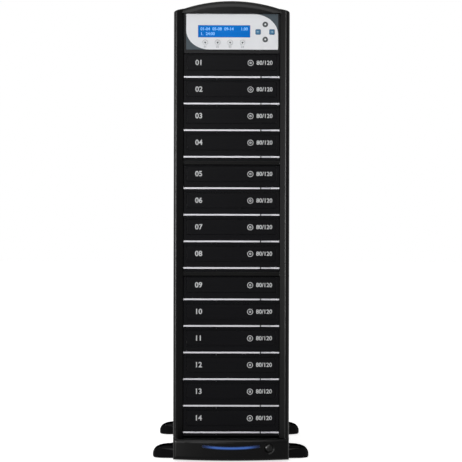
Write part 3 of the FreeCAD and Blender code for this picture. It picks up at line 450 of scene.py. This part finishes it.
def softEdges(piece, width, segments=2, angle=33):
    bevel = piece.modifiers.new("softEdges", "BEVEL")
    bevel.width = width * mm
    bevel.segments = segments
    bevel.limit_method = "ANGLE"
    bevel.angle_limit = math.radians(angle)
    bevel.use_clamp_overlap = False
    even = piece.modifiers.new("evenNormals", "WEIGHTED_NORMAL")
    even.weight = 100
    even.keep_sharp = True


# a piece that takes a node's shape and its place, with softened edges
def dress(node, name, finish, body, edge, segments=2):
    softEdges(settle(name, merged(node), [finish], body, [node]), edge, segments)


# a finish for a node that no piece replaces
def repaint(node, finish):
    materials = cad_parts[node].data.materials
    materials.clear()
    materials.append(finish)


def camelName(node):
    first, *others = node.split("_")
    return first + "".join(word.capitalize() for word in others)


def islands(bm):
    left = set(bm.faces)
    found = []
    while left:
        stack = [left.pop()]
        group = [stack[0]]
        while stack:
            face = stack.pop()
            for edge in face.edges:
                for other in edge.link_faces:
                    if other in left:
                        left.remove(other)
                        group.append(other)
                        stack.append(other)
        found.append(group)
    return found


def spanOf(group):
    points = [vert.co for face in group for vert in face.verts]
    low = Vector([min(point[axis] for point in points) for axis in range(3)])
    high = Vector([max(point[axis] for point in points) for axis in range(3)])
    return low, high


# the second finish goes to each loose part whose upper corner passes the test
def splitFinish(bm, isSecond):
    for group in islands(bm):
        index = int(isSecond(spanOf(group)[1]))
        for face in group:
            face.material_index = index


def bevelInto(bm, edges, offset, segments):
    bmesh.ops.bevel(bm, geom=edges, offset=offset, offset_type="OFFSET", affect="EDGES", segments=segments,
                    profile=0.5, material=-1)


def slabInto(bm, low, high, edge=0.0, segments=2):
    made = bmesh.ops.create_cube(bm, size=1.0)["verts"]
    bmesh.ops.scale(bm, vec=high - low, verts=made)
    bmesh.ops.translate(bm, vec=(low + high) / 2, verts=made)
    if edge:
        around = {link for vert in made for link in vert.link_edges}
        bevelInto(bm, list(around), edge, segments)


# a prism with regular sides, turned about its own line, which runs along Y
def prismInto(bm, x, z, radius, sides, turn, backY, frontY):
    made = bmesh.ops.create_cone(bm, cap_ends=True, segments=sides, radius1=radius, radius2=radius,
                                 depth=backY - frontY)["verts"]
    bmesh.ops.rotate(bm, cent=(0, 0, 0), matrix=uprightTurn.to_3x3(), verts=made)
    bmesh.ops.rotate(bm, cent=(0, 0, 0), matrix=Matrix.Rotation(turn, 3, "Y"), verts=made)
    bmesh.ops.translate(bm, vec=(x, (backY + frontY) / 2, z), verts=made)
    return made


def discInto(bm, x, z, radius, backY, frontY, edge):
    made = prismInto(bm, x, z, radius, draft["discSides"], 0.0, backY, frontY)
    around = {link for vert in made for link in vert.link_edges}
    rim = [link for link in around if all(abs(vert.co.y - frontY) < 1e-7 for vert in link.verts)]
    bevelInto(bm, rim, edge, 2)


def ringInto(bm, x, z, outer, inner, backY, frontY, sides=40):
    loops = []
    for radius in (outer, inner):
        verts = bmesh.ops.create_circle(bm, cap_ends=False, segments=sides, radius=radius)["verts"]
        bmesh.ops.rotate(bm, cent=(0, 0, 0), matrix=uprightTurn.to_3x3(), verts=verts)
        bmesh.ops.translate(bm, vec=(x, backY, z), verts=verts)
        loops.extend({edge for vert in verts for edge in vert.link_edges})
    faces = bmesh.ops.bridge_loops(bm, edges=loops)["faces"]
    grown = bmesh.ops.extrude_face_region(bm, geom=faces)["geom"]
    lifted = [part for part in grown if isinstance(part, bmesh.types.BMVert)]
    bmesh.ops.translate(bm, vec=(0, frontY - backY, 0), verts=lifted)


# an outline of corners, each square or rounded by an elliptic quarter of the given reach
def addOutline(curve, corners):
    spline = curve.splines.new("BEZIER")
    spots = []
    count = len(corners)
    for index, (x, z, reachX, reachZ) in enumerate(corners):
        if not reachX:
            spots.append((x, z, x, z, x, z))
            continue
        beforeX, beforeZ = corners[index - 1][:2]
        afterX, afterZ = corners[(index + 1) % count][:2]
        stepIn = Vector((beforeX - x, beforeZ - z)).normalized()
        stepOut = Vector((afterX - x, afterZ - z)).normalized()
        reachIn = reachX if abs(stepIn.x) > 0.5 else reachZ
        reachOut = reachX if abs(stepOut.x) > 0.5 else reachZ
        start = Vector((x, z)) + stepIn * reachIn
        end = Vector((x, z)) + stepOut * reachOut
        startPull = start - stepIn * reachIn * draft["quarterPull"]
        endPull = end - stepOut * reachOut * draft["quarterPull"]
        spots.append((start.x, start.y, start.x, start.y, startPull.x, startPull.y))
        spots.append((end.x, end.y, endPull.x, endPull.y, end.x, end.y))
    spline.bezier_points.add(len(spots) - 1)
    for point, (x, z, leftX, leftZ, rightX, rightZ) in zip(spline.bezier_points, spots):
        point.handle_left_type = "FREE"
        point.handle_right_type = "FREE"
        point.co = (x, z, 0)
        point.handle_left = (leftX, leftZ, 0)
        point.handle_right = (rightX, rightZ, 0)
    spline.use_cyclic_u = True


def boxCorners(low, high, reach=0.0):
    return [(low.x, low.z, reach, reach), (high.x, low.z, reach, reach),
            (high.x, high.z, reach, reach), (low.x, high.z, reach, reach)]


# a flat curve's mesh, stood upright to face the front
def curveInto(bm, curve, x, y, z):
    holder = bpy.data.objects.new(curve.name + "Draft", curve)
    bpy.context.scene.collection.objects.link(holder)
    depsgraph = bpy.context.evaluated_depsgraph_get()
    mesh = bpy.data.meshes.new_from_object(holder.evaluated_get(depsgraph))
    bpy.data.objects.remove(holder)
    mesh.transform(Matrix.Translation((x, y, z)) @ uprightTurn)
    bm.from_mesh(mesh)
    bpy.data.meshes.remove(mesh)


def wordsInto(bm, words, size, x, y, z, align="CENTER", bold=0.0):
    curve = bpy.data.curves.new("words", "FONT")
    curve.body = words
    curve.size = size
    curve.align_x = align
    curve.align_y = "CENTER"
    curve.extrude = draft["letterThick"] * mm
    curve.offset = bold
    curve.resolution_u = draft["letterSteps"]
    curveInto(bm, curve, x, y, z)


# camera
view = {"place": (-19.6, -2509.5, 345.5), "forward": (0.0082, 1.0, 0.0), "roll": 0.0022, "sensor": 36.0,
        "focalPixels": 1486.2, "framePixels": 462, "dropPixels": 8.5, "clip": (0.05, 60.0)}


def addCamera():
    data = bpy.data.cameras.new("photoCamera")
    data.sensor_width = view["sensor"]
    data.lens = view["sensor"] * view["focalPixels"] / view["framePixels"]
    data.shift_y = view["dropPixels"] / view["framePixels"]
    data.clip_start, data.clip_end = view["clip"]
    camera = bpy.data.objects.new("photoCamera", data)
    bpy.context.scene.collection.objects.link(camera)
    forward = Vector(view["forward"]).normalized()
    right = forward.cross(Vector((0, 0, 1)))
    rolledRight = right * math.cos(view["roll"]) + Vector((0, 0, 1)) * math.sin(view["roll"])
    up = rolledRight.cross(forward)
    turn = Matrix((rolledRight, up, -forward)).transposed()
    camera.matrix_world = Matrix.Translation(Vector(view["place"]) * mm) @ turn.to_4x4()
    bpy.context.scene.camera = camera


addCamera()
print("camera set")


# front bezel, light bar and power button
bezel = {"edge": 0.5, "edgeSegments": 3, "edgeAngle": 42, "creaseAngle": 27, "lensEdge": 0.35,
         "buttonEdge": 0.25, "lensDim": (0.012, 0.04, 0.17), "lensBright": (0.042, 0.12, 0.41)}


def addBezel():
    shell = merged("front_bezel")
    for edge in shell.edges:
        edge.smooth = edge.calc_face_angle(0) < math.radians(bezel["creaseAngle"])
    softEdges(settle("frontBezelShell", shell, [bezelPlastic], towerBody, ["front_bezel"]),
              bezel["edge"], bezel["edgeSegments"], bezel["edgeAngle"])
    low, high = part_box("light_bar_lens")
    glow = litLens("lightBarGlow", bezel["lensDim"], bezel["lensBright"], low, high)
    dress("light_bar_lens", "lightBarLens", glow, towerBody, bezel["lensEdge"])
    dress("power_button", "powerButtonCap", buttonPlastic, "power_button",
          bezel["buttonEdge"])


addBezel()
print("bezel dressed")


# drives: fronts, silver strips, eject buttons, trays and their door marks
drive = {"frontEdge": 0.25, "ejectEdge": 0.2, "doorEdge": 0.35, "doorDepth": 3.2,
         "stripHeight": 2.4, "stripProud": 0.12, "stripSink": 0.2, "stripEdge": 0.15,
         "gapLeft": 46.2, "gapRight": 60.8, "lensWidth": 1.6, "lensGap": 0.05, "lensEdge": 0.1,
         "groupGap": 3.0, "shadeLift": 0.3, "shadeHeight": 1.1, "shadeProud": 0.56, "shadeEdge": 0.1,
         "markDrop": 11.5, "wordLift": 0.02, "numberX": -51.0, "numberSize": 11.5, "numberBold": 0.2,
         "ringX": 29.3, "ringLift": 0.05, "ringRadii": (4.6, 3.7), "hubRadii": (1.7, 0.8), "hubSides": 24,
         "sizeX": 51.1, "sizeText": 9.0, "sizeBold": 0.15}


def addDrives():
    fronts = merged("drive_bezels")
    addGapShade(sorted((spanOf(group) for group in islands(fronts)), key=lambda span: span[0].z))
    softEdges(settle("driveFronts", fronts, [drivePlastic], towerBody, ["drive_bezels"]),
              drive["frontEdge"])
    frontLow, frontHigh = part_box("drive_bezels")
    halfStrip = drive["stripHeight"] / 2 * mm
    backY = frontLow.y + drive["stripSink"] * mm
    frontY = frontLow.y - drive["stripProud"] * mm
    gapLeft = drive["gapLeft"] * mm
    gapRight = drive["gapRight"] * mm
    lensLeft = gapLeft - drive["lensWidth"] * mm
    strips = bmesh.new()
    lenses = bmesh.new()
    for bay in range(bayCount):
        number = f"{bay + 1:02d}"
        button = "eject_button_" + number
        buttonLow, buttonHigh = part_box(button)
        middleZ = (buttonLow.z + buttonHigh.z) / 2
        for bm, left, right, edge in ((strips, frontLow.x, lensLeft, drive["stripEdge"]),
                                      (strips, gapRight, frontHigh.x, drive["stripEdge"]),
                                      (lenses, lensLeft + drive["lensGap"] * mm, gapLeft, drive["lensEdge"])):
            slabInto(bm, Vector((left, frontY, middleZ - halfStrip)),
                     Vector((right, backY, middleZ + halfStrip)), edge * mm)
        dress(button, "ejectButton" + number, ejectSilver, button, drive["ejectEdge"])
        addTray(number)
    settle("silverStrips", strips, [stripSilver], towerBody, smooth=False)
    settle("activityLenses", lenses, [darkLens], towerBody, smooth=False)


# a black strip of painted shade lies on each bar between two groups of drives, along the top of the lower
# group
def addGapShade(spans):
    bm = bmesh.new()
    for (low, high), (nextLow, _) in zip(spans, spans[1:]):
        if nextLow.z - high.z > drive["groupGap"] * mm:
            bottom = high.z + drive["shadeLift"] * mm
            slabInto(bm, Vector((low.x, low.y - drive["shadeProud"] * mm, bottom)),
                     Vector((high.x, low.y, bottom + drive["shadeHeight"] * mm)), drive["shadeEdge"] * mm)
    settle("groupGapShade", bm, [gapShadeStrip], towerBody)


# a tray and the door on its front, with the bay's number, a disc ring and the sizes of disc it takes
def addTray(number):
    node = "tray_" + number
    bm = merged(node)
    low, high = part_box(node)
    splitFinish(bm, lambda corner: corner.y > low.y + drive["doorDepth"] * mm)
    softEdges(settle("discTray" + number, bm, [drivePlastic, trayPlastic], node, [node]),
              drive["doorEdge"])
    marks = bmesh.new()
    markZ = high.z - drive["markDrop"] * mm
    wordY = low.y - drive["wordLift"] * mm
    ringX = drive["ringX"] * mm
    ringY = low.y - drive["ringLift"] * mm
    ringOuter, ringInner = (radius * mm for radius in drive["ringRadii"])
    hubOuter, hubInner = (radius * mm for radius in drive["hubRadii"])
    wordsInto(marks, number, drive["numberSize"] * mm, drive["numberX"] * mm, wordY, markZ,
              bold=drive["numberBold"] * mm)
    ringInto(marks, ringX, markZ, ringOuter, ringInner, low.y, ringY)
    ringInto(marks, ringX, markZ, hubOuter, hubInner, low.y, ringY, drive["hubSides"])
    wordsInto(marks, "80/120", drive["sizeText"] * mm, drive["sizeX"] * mm, wordY, markZ,
              bold=drive["sizeBold"] * mm)
    settle("doorMarks" + number, marks, [doorInk], node, smooth=False)


addDrives()
print("drives dressed")


# control panel: black moulding, slate film, pale film and foam seals
panel = {"edge": 0.4, "filmLeft": 3.5, "filmRight": 2.5, "filmBottom": 6.0, "filmTop": 0.5, "filmRound": 1.0,
         "roundRight": (39.0, 32.0), "roundLeft": (36.0, 30.0), "slateLift": 0.06, "paleLift": 0.14,
         "windowX": -12.0, "windowDrop": 27.6, "windowHalf": (40.7, 9.5),
         "sealThick": 2.0, "sealReach": 0.45, "sealFront": 3.05, "sealBack": 5.2, "sealEdge": 0.3}


def addFilm(name, corners, holes, lift, faceY, finish):
    curve = bpy.data.curves.new(name + "Sheet", "CURVE")
    curve.dimensions = "2D"
    curve.fill_mode = "BOTH"
    curve.resolution_u = draft["curveSteps"]
    curve.extrude = lift / 2
    for outline in [corners] + holes:
        addOutline(curve, outline)
    bm = bmesh.new()
    curveInto(bm, curve, 0, faceY - lift / 2, 0)
    settle(name, bm, [finish], towerBody, smooth=False)


def addPanel():
    dress("control_panel_housing", "panelMoulding", panelPlastic, towerBody, panel["edge"])
    low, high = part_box("control_panel_housing")
    faceY = low.y
    filmLow = Vector((low.x + panel["filmLeft"] * mm, faceY, low.z + panel["filmBottom"] * mm))
    filmHigh = Vector((high.x - panel["filmRight"] * mm, faceY, high.z - panel["filmTop"] * mm))
    halfX, halfZ = panel["windowHalf"]
    windowMiddle = Vector((panel["windowX"] * mm, faceY, high.z - panel["windowDrop"] * mm))
    windowHalf = Vector((halfX * mm, 0, halfZ * mm))
    windowLow = windowMiddle - windowHalf
    windowHigh = windowMiddle + windowHalf
    holes = [boxCorners(windowLow, windowHigh)] + [keyHole(node) for node in keyNames]
    square = panel["filmRound"] * mm
    addFilm("slateBacking", boxCorners(filmLow, filmHigh, square), holes, panel["slateLift"] * mm, faceY,
            slateFilm)
    leftX, leftZ = (reach * mm for reach in panel["roundLeft"])
    rightX, rightZ = (reach * mm for reach in panel["roundRight"])
    paleCorners = [(filmLow.x, filmLow.z, leftX, leftZ), (filmHigh.x, filmLow.z, square, square),
                   (filmHigh.x, filmHigh.z, rightX, rightZ), (filmLow.x, filmHigh.z, square, square)]
    addFilm("paleOverlay", paleCorners, holes, panel["paleLift"] * mm, faceY, paleFilm)
    addSeals(low, high)
    addDisplay(windowLow, windowHigh, faceY)
    addKeys(faceY)


# foam strips that close the gaps between the panel's sides and the pillars
def addSeals(low, high):
    bm = bmesh.new()
    thick = panel["sealThick"] * mm
    reach = panel["sealReach"] * mm
    frontY = low.y + panel["sealFront"] * mm
    backY = low.y + panel["sealBack"] * mm
    for inner, outer in ((high.x - thick, high.x + reach), (low.x - reach, low.x + thick)):
        slabInto(bm, Vector((inner, frontY, low.z)), Vector((outer, backY, high.z)), panel["sealEdge"] * mm)
    settle("panelSeals", bm, [padRubber], towerBody)


# display: a lit screen behind the window, with plain numbers on it
display = {"border": 0.25, "sink": 0.3, "thick": 0.28, "edge": 0.08, "color": (0.001, 0.15, 0.56),
           "digitSize": 6.396, "digitBold": 0.16, "digitLift": 0.02, "digitInset": 3.6,
           "upperLine": 0.194118, "lowerLine": -0.211765, "boardThick": 2.0}


def addDisplay(windowLow, windowHigh, faceY):
    border = display["border"] * mm
    screenY = faceY + display["sink"] * mm
    low = windowLow + Vector((border, 0, border))
    high = windowHigh - Vector((border, 0, border))
    bm = bmesh.new()
    slabInto(bm, Vector((low.x, screenY, low.z)), Vector((high.x, screenY + display["thick"] * mm, high.z)),
             display["edge"] * mm, 1)
    glass = litDisplay("displayGlow", display["color"], low, high)
    settle("displayScreen", bm, [glass], towerBody, smooth=False)
    digits = bmesh.new()
    textY = screenY - display["digitLift"] * mm
    textLeft = low.x + display["digitInset"] * mm
    textRight = high.x - display["digitInset"] * mm
    for words, x, line, align in (("01-04  05-08  09-14", textLeft, "upperLine", "LEFT"),
                                  ("1.00", textRight, "upperLine", "RIGHT"),
                                  ("1.  24:00", textLeft, "lowerLine", "LEFT")):
        z = (low.z + high.z) / 2 + (high.z - low.z) * display[line]
        wordsInto(digits, words, display["digitSize"] * mm, x, textY, z, align, display["digitBold"] * mm)
    settle("displayDigits", digits, [litDigits("digitGlow")], towerBody, smooth=False)
    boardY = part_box("lcd_module")[1].y - display["boardThick"] * mm
    repaint("lcd_module", displayBack("displayBack", boardY))


# keys: caps with a dot, an arrow or a ringed mark, and plain numbers under the round ones
key = {"edge": 0.5, "edgeSegments": 3, "gap": 0.3, "flange": 1.0, "squareRound": 1.8,
       "markSink": 0.02, "markLift": 0.06, "dotRadius": 1.4, "dotEdge": 0.02,
       "shaftHalf": (1.7, 0.45), "shaftStep": 0.02, "tipReach": 1.2, "tipSize": 1.3,
       "roundMark": 2.1, "rimRadii": (3.65, 3.4), "labelSize": 4.4, "labelDrop": 6.8, "labelLift": 0.02}
dotKeys = ["key_up", "key_down"]
arrowKeys = ["key_left", "key_right"]
keyNames = dotKeys + arrowKeys + [f"function_key_{number}" for number in range(1, 5)]


def keyHole(node):
    low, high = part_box(node)
    middle = (low + high) / 2
    half = (high.x - low.x) / 2 + (key["gap"] - key["flange"]) * mm
    reach = key["squareRound"] * mm if node in arrowKeys else half
    around = Vector((half, 0, half))
    return boxCorners(middle - around, middle + around, reach)


def addKeys(faceY):
    for node in keyNames:
        low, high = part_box(node)
        middle = (low + high) / 2
        backY = low.y + key["markSink"] * mm
        topY = low.y - key["markLift"] * mm
        if node in dotKeys:
            addDotKey(node, middle, backY, topY)
        elif node in arrowKeys:
            addArrowKey(node, middle, backY, topY)
        else:
            addRoundKey(node, middle, backY, topY, faceY)


def addCap(node, finish):
    dress(node, camelName(node) + "Cap", finish, node, key["edge"], key["edgeSegments"])


def addDotKey(node, middle, backY, topY):
    addCap(node, greyKey)
    marks = bmesh.new()
    discInto(marks, middle.x, middle.z, key["dotRadius"] * mm, backY, topY, key["dotEdge"] * mm)
    settle(camelName(node) + "Dot", marks, [whiteInk], node, smooth=False)


def addArrowKey(node, middle, backY, topY):
    addCap(node, blueKey)
    marks = bmesh.new()
    turn = -math.pi / 2 if node == "key_left" else math.pi / 2
    tipX = middle.x + math.copysign(key["tipReach"] * mm, turn)
    prismInto(marks, tipX, middle.z, key["tipSize"] * mm, 3, turn, backY, topY)
    halfX, halfZ = key["shaftHalf"]
    shaft = Vector((halfX * mm, 0, halfZ * mm))
    slabInto(marks, Vector((middle.x, topY + key["shaftStep"] * mm, middle.z)) - shaft,
             Vector((middle.x, backY, middle.z)) + shaft)
    settle(camelName(node) + "Arrow", marks, [blueInk], node, smooth=False)


def addRoundKey(node, middle, backY, topY, faceY):
    addCap(node, paleKey)
    marks = bmesh.new()
    prismInto(marks, middle.x, middle.z, key["roundMark"] * mm, 3, math.pi, backY, topY)
    settle(camelName(node) + "Mark", marks, [darkPrintAndShade], node, smooth=False)
    rim = bmesh.new()
    outer, inner = (radius * mm for radius in key["rimRadii"])
    ringInto(rim, middle.x, middle.z, outer, inner, backY, topY)
    settle(camelName(node) + "Rim", rim, [ringInk], node, smooth=False)
    label = bmesh.new()
    wordsInto(label, "0" + node[-1], key["labelSize"] * mm, middle.x,
              faceY - (panel["paleLift"] + key["labelLift"]) * mm, middle.z - key["labelDrop"] * mm)
    settle(camelName(node) + "Label", label, [labelInk], towerBody, smooth=False)


addPanel()
print("control panel dressed")


# feet with rubber pads
foot = {"edge": 0.6, "edgeSegments": 3, "padTop": 4.0}


def addFeet():
    for node in ("foot_front_left", "foot_front_right", "foot_rear_left", "foot_rear_right"):
        bm = merged(node)
        splitFinish(bm, lambda corner: corner.z < foot["padTop"] * mm)
        shell = settle(camelName(node) + "Shell", bm, [footPlastic, padRubber], node, [node])
        softEdges(shell, foot["edge"], foot["edgeSegments"])


addFeet()
print("feet dressed")


# steel case, supply, fans, inlet and what lies inside
case = {"panelEdge": 0.25, "sheetEdge": 0.15, "supplyEdge": 0.2, "fanEdge": 0.3, "inletEdge": 0.3,
        "socketX": 25.0}


def addCase():
    for node in ("side_panel_left", "side_panel_right"):
        dress(node, camelName(node), caseSteel, towerBody, case["panelEdge"])
    dress("chassis", "chassisPlates", caseSteel, towerBody, case["sheetEdge"])
    dress("power_supply_case", "supplyCase", zincSteel, towerBody, case["supplyEdge"])
    dress("fan_frames", "fanFrames", fanPlastic, towerBody, case["fanEdge"])
    for node, name in (("rear_fan_rotor_upper", "rearFanRotorUpper"),
                       ("rear_fan_rotor_lower", "rearFanRotorLower"), ("psu_fan_rotor", "supplyFanRotor")):
        dress(node, name, fanPlastic, node, case["fanEdge"])
    inletLow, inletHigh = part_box("mains_inlet")
    dress("mains_inlet", "mainsInletBody", inletPlastic("inletPlastic", inletLow, inletHigh), towerBody,
          case["inletEdge"])
    dress("mains_switch_rocker", "mainsRocker", fanPlastic, "mains_switch_rocker",
          case["inletEdge"])
    addScrews(inletHigh.y)
    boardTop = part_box("controller_board")[1].z
    repaint("drive_housings", zincSteel)
    repaint("controller_board", solderMask("solderMask", boardTop, case["socketX"] * mm))
    repaint("internal_cables", cableJacket("cableJacket"))


# screws: those at the rear have a cross recess, drawn as a dark cross of painted shade, or a knurled rim
# where they are turned by hand
screw = {"edge": 0.25, "crossLength": 2.8, "crossWidth": 0.7, "crossSink": 0.1, "crossLift": 0.03,
         "crossStep": 0.01, "knurlDepth": 0.4, "knurlRadius": 4.2, "rimShare": 0.98}


def addScrews(faceY):
    bm = merged("fasteners")
    crosses = bmesh.new()
    half = screw["crossLength"] / 2 * mm
    thin = screw["crossWidth"] / 2 * mm
    for group in islands(bm):
        low, high = spanOf(group)
        if high.y < faceY:
            continue
        middle = (low + high) / 2
        radius = (high.x - low.x) / 2
        if radius > screw["knurlRadius"] * mm:
            knurl(group, middle, radius)
            continue
        backY = high.y - screw["crossSink"] * mm
        for reachX, reachZ, step in ((half, thin, 0.0), (thin, half, screw["crossStep"])):
            topY = high.y + (screw["crossLift"] - step) * mm
            slabInto(crosses, Vector((middle.x - reachX, backY, middle.z - reachZ)),
                     Vector((middle.x + reachX, topY, middle.z + reachZ)))
    softEdges(settle("caseScrews", bm, [screwSteel], towerBody, ["fasteners"]), screw["edge"])
    # the recesses are not cut: a dark cross on each head stands in as painted shade
    settle("screwRecessShade", crosses, [darkPrintAndShade], towerBody, smooth=False)


# every second line of points round a screw's rim is drawn in
def knurl(group, middle, radius):
    turnOf = {}
    for vert in {vert for face in group for vert in face.verts}:
        x = vert.co.x - middle.x
        z = vert.co.z - middle.z
        if math.hypot(x, z) > screw["rimShare"] * radius:
            turnOf[vert] = round(math.atan2(z, x), 3)
    turns = sorted(set(turnOf.values()))
    for vert, turn in turnOf.items():
        if turns.index(turn) % 2:
            vert.co.x -= math.cos(turn) * screw["knurlDepth"] * mm
            vert.co.z -= math.sin(turn) * screw["knurlDepth"] * mm


addCase()
print("case dressed")


# studio: pale floor and surroundings, soft lamps in front, above and at the left,
# and two lamps for the shine alone
studio = {
    "floorSize": 40.0, "ambient": 0.30, "floorColor": 0.78, "floorLift": 0.78,
    "lamps": {
        "frontLamp": {"place": (-0.8, -2.7, 1.3), "aim": (0, -0.2, 0.4), "size": (1.3, 1.1), "power": 38,
                      "diffuse": True},
        "leftStrip": {"place": (-1.9, -1.75, 0.5), "aim": (0, -0.2, 0.42), "size": (0.45, 0.8), "power": 145,
                      "diffuse": False},
        "leftFill": {"place": (-2.3, -0.55, 0.5), "aim": (0, -0.2, 0.42), "size": (0.5, 0.9), "power": 4,
                     "diffuse": True},
        "crownLamp": {"place": (-0.1, -1.3, 2.1), "aim": (0, -0.2, 0.7), "size": (1.6, 1.0), "power": 40,
                      "diffuse": False},
        "topLamp": {"place": (0, 0.2, 2.7), "aim": (0, 0, 0.6), "size": (1.4, 1.4), "power": 12,
                    "diffuse": True},
    },
}


def addWorld():
    sky = Finish("studioWorld", bpy.data.worlds)
    white = (1, 1, 1, 1)
    soft = sky.node("ShaderNodeBackground", values={"Color": white, "Strength": studio["ambient"]})
    bright = sky.node("ShaderNodeBackground", values={"Color": white, "Strength": 1.0})
    mixed = sky.node("ShaderNodeMixShader", values=[sky.seenPath(), soft, bright])
    bpy.context.scene.world = sky.finishWith(mixed)


def addFloor():
    finish = Finish("studioFloor")
    pale = finish.node("ShaderNodeBsdfDiffuse", values={"Color": tint((1, 1, 1), studio["floorColor"])})
    lift = finish.node("ShaderNodeEmission", values={"Strength": studio["floorLift"]})
    lifted = finish.node("ShaderNodeAddShader", values=[pale, lift])
    mixed = finish.node("ShaderNodeMixShader", values=[finish.seenPath(), pale, lifted])
    bm = bmesh.new()
    bmesh.ops.create_grid(bm, x_segments=1, y_segments=1, size=studio["floorSize"] / 2)
    mesh = bpy.data.meshes.new("studioFloor")
    bm.to_mesh(mesh)
    bm.free()
    mesh.materials.append(finish.finishWith(mixed))
    floor = bpy.data.objects.new("studioFloor", mesh)
    bpy.context.scene.collection.objects.link(floor)


def addLamps():
    for name, lamp in studio["lamps"].items():
        data = bpy.data.lights.new(name, "AREA")
        data.shape = "RECTANGLE"
        data.size, data.size_y = lamp["size"]
        data.energy = lamp["power"]
        holder = bpy.data.objects.new(name, data)
        bpy.context.scene.collection.objects.link(holder)
        holder.location = lamp["place"]
        holder.rotation_mode = "QUATERNION"
        holder.rotation_quaternion = (Vector(lamp["aim"]) - Vector(lamp["place"])).to_track_quat("-Z", "Y")
        holder.visible_camera = False
        holder.visible_diffuse = lamp["diffuse"]


addWorld()
addFloor()
addLamps()
bpy.context.scene.view_settings.view_transform = "Standard"
print("studio lit")
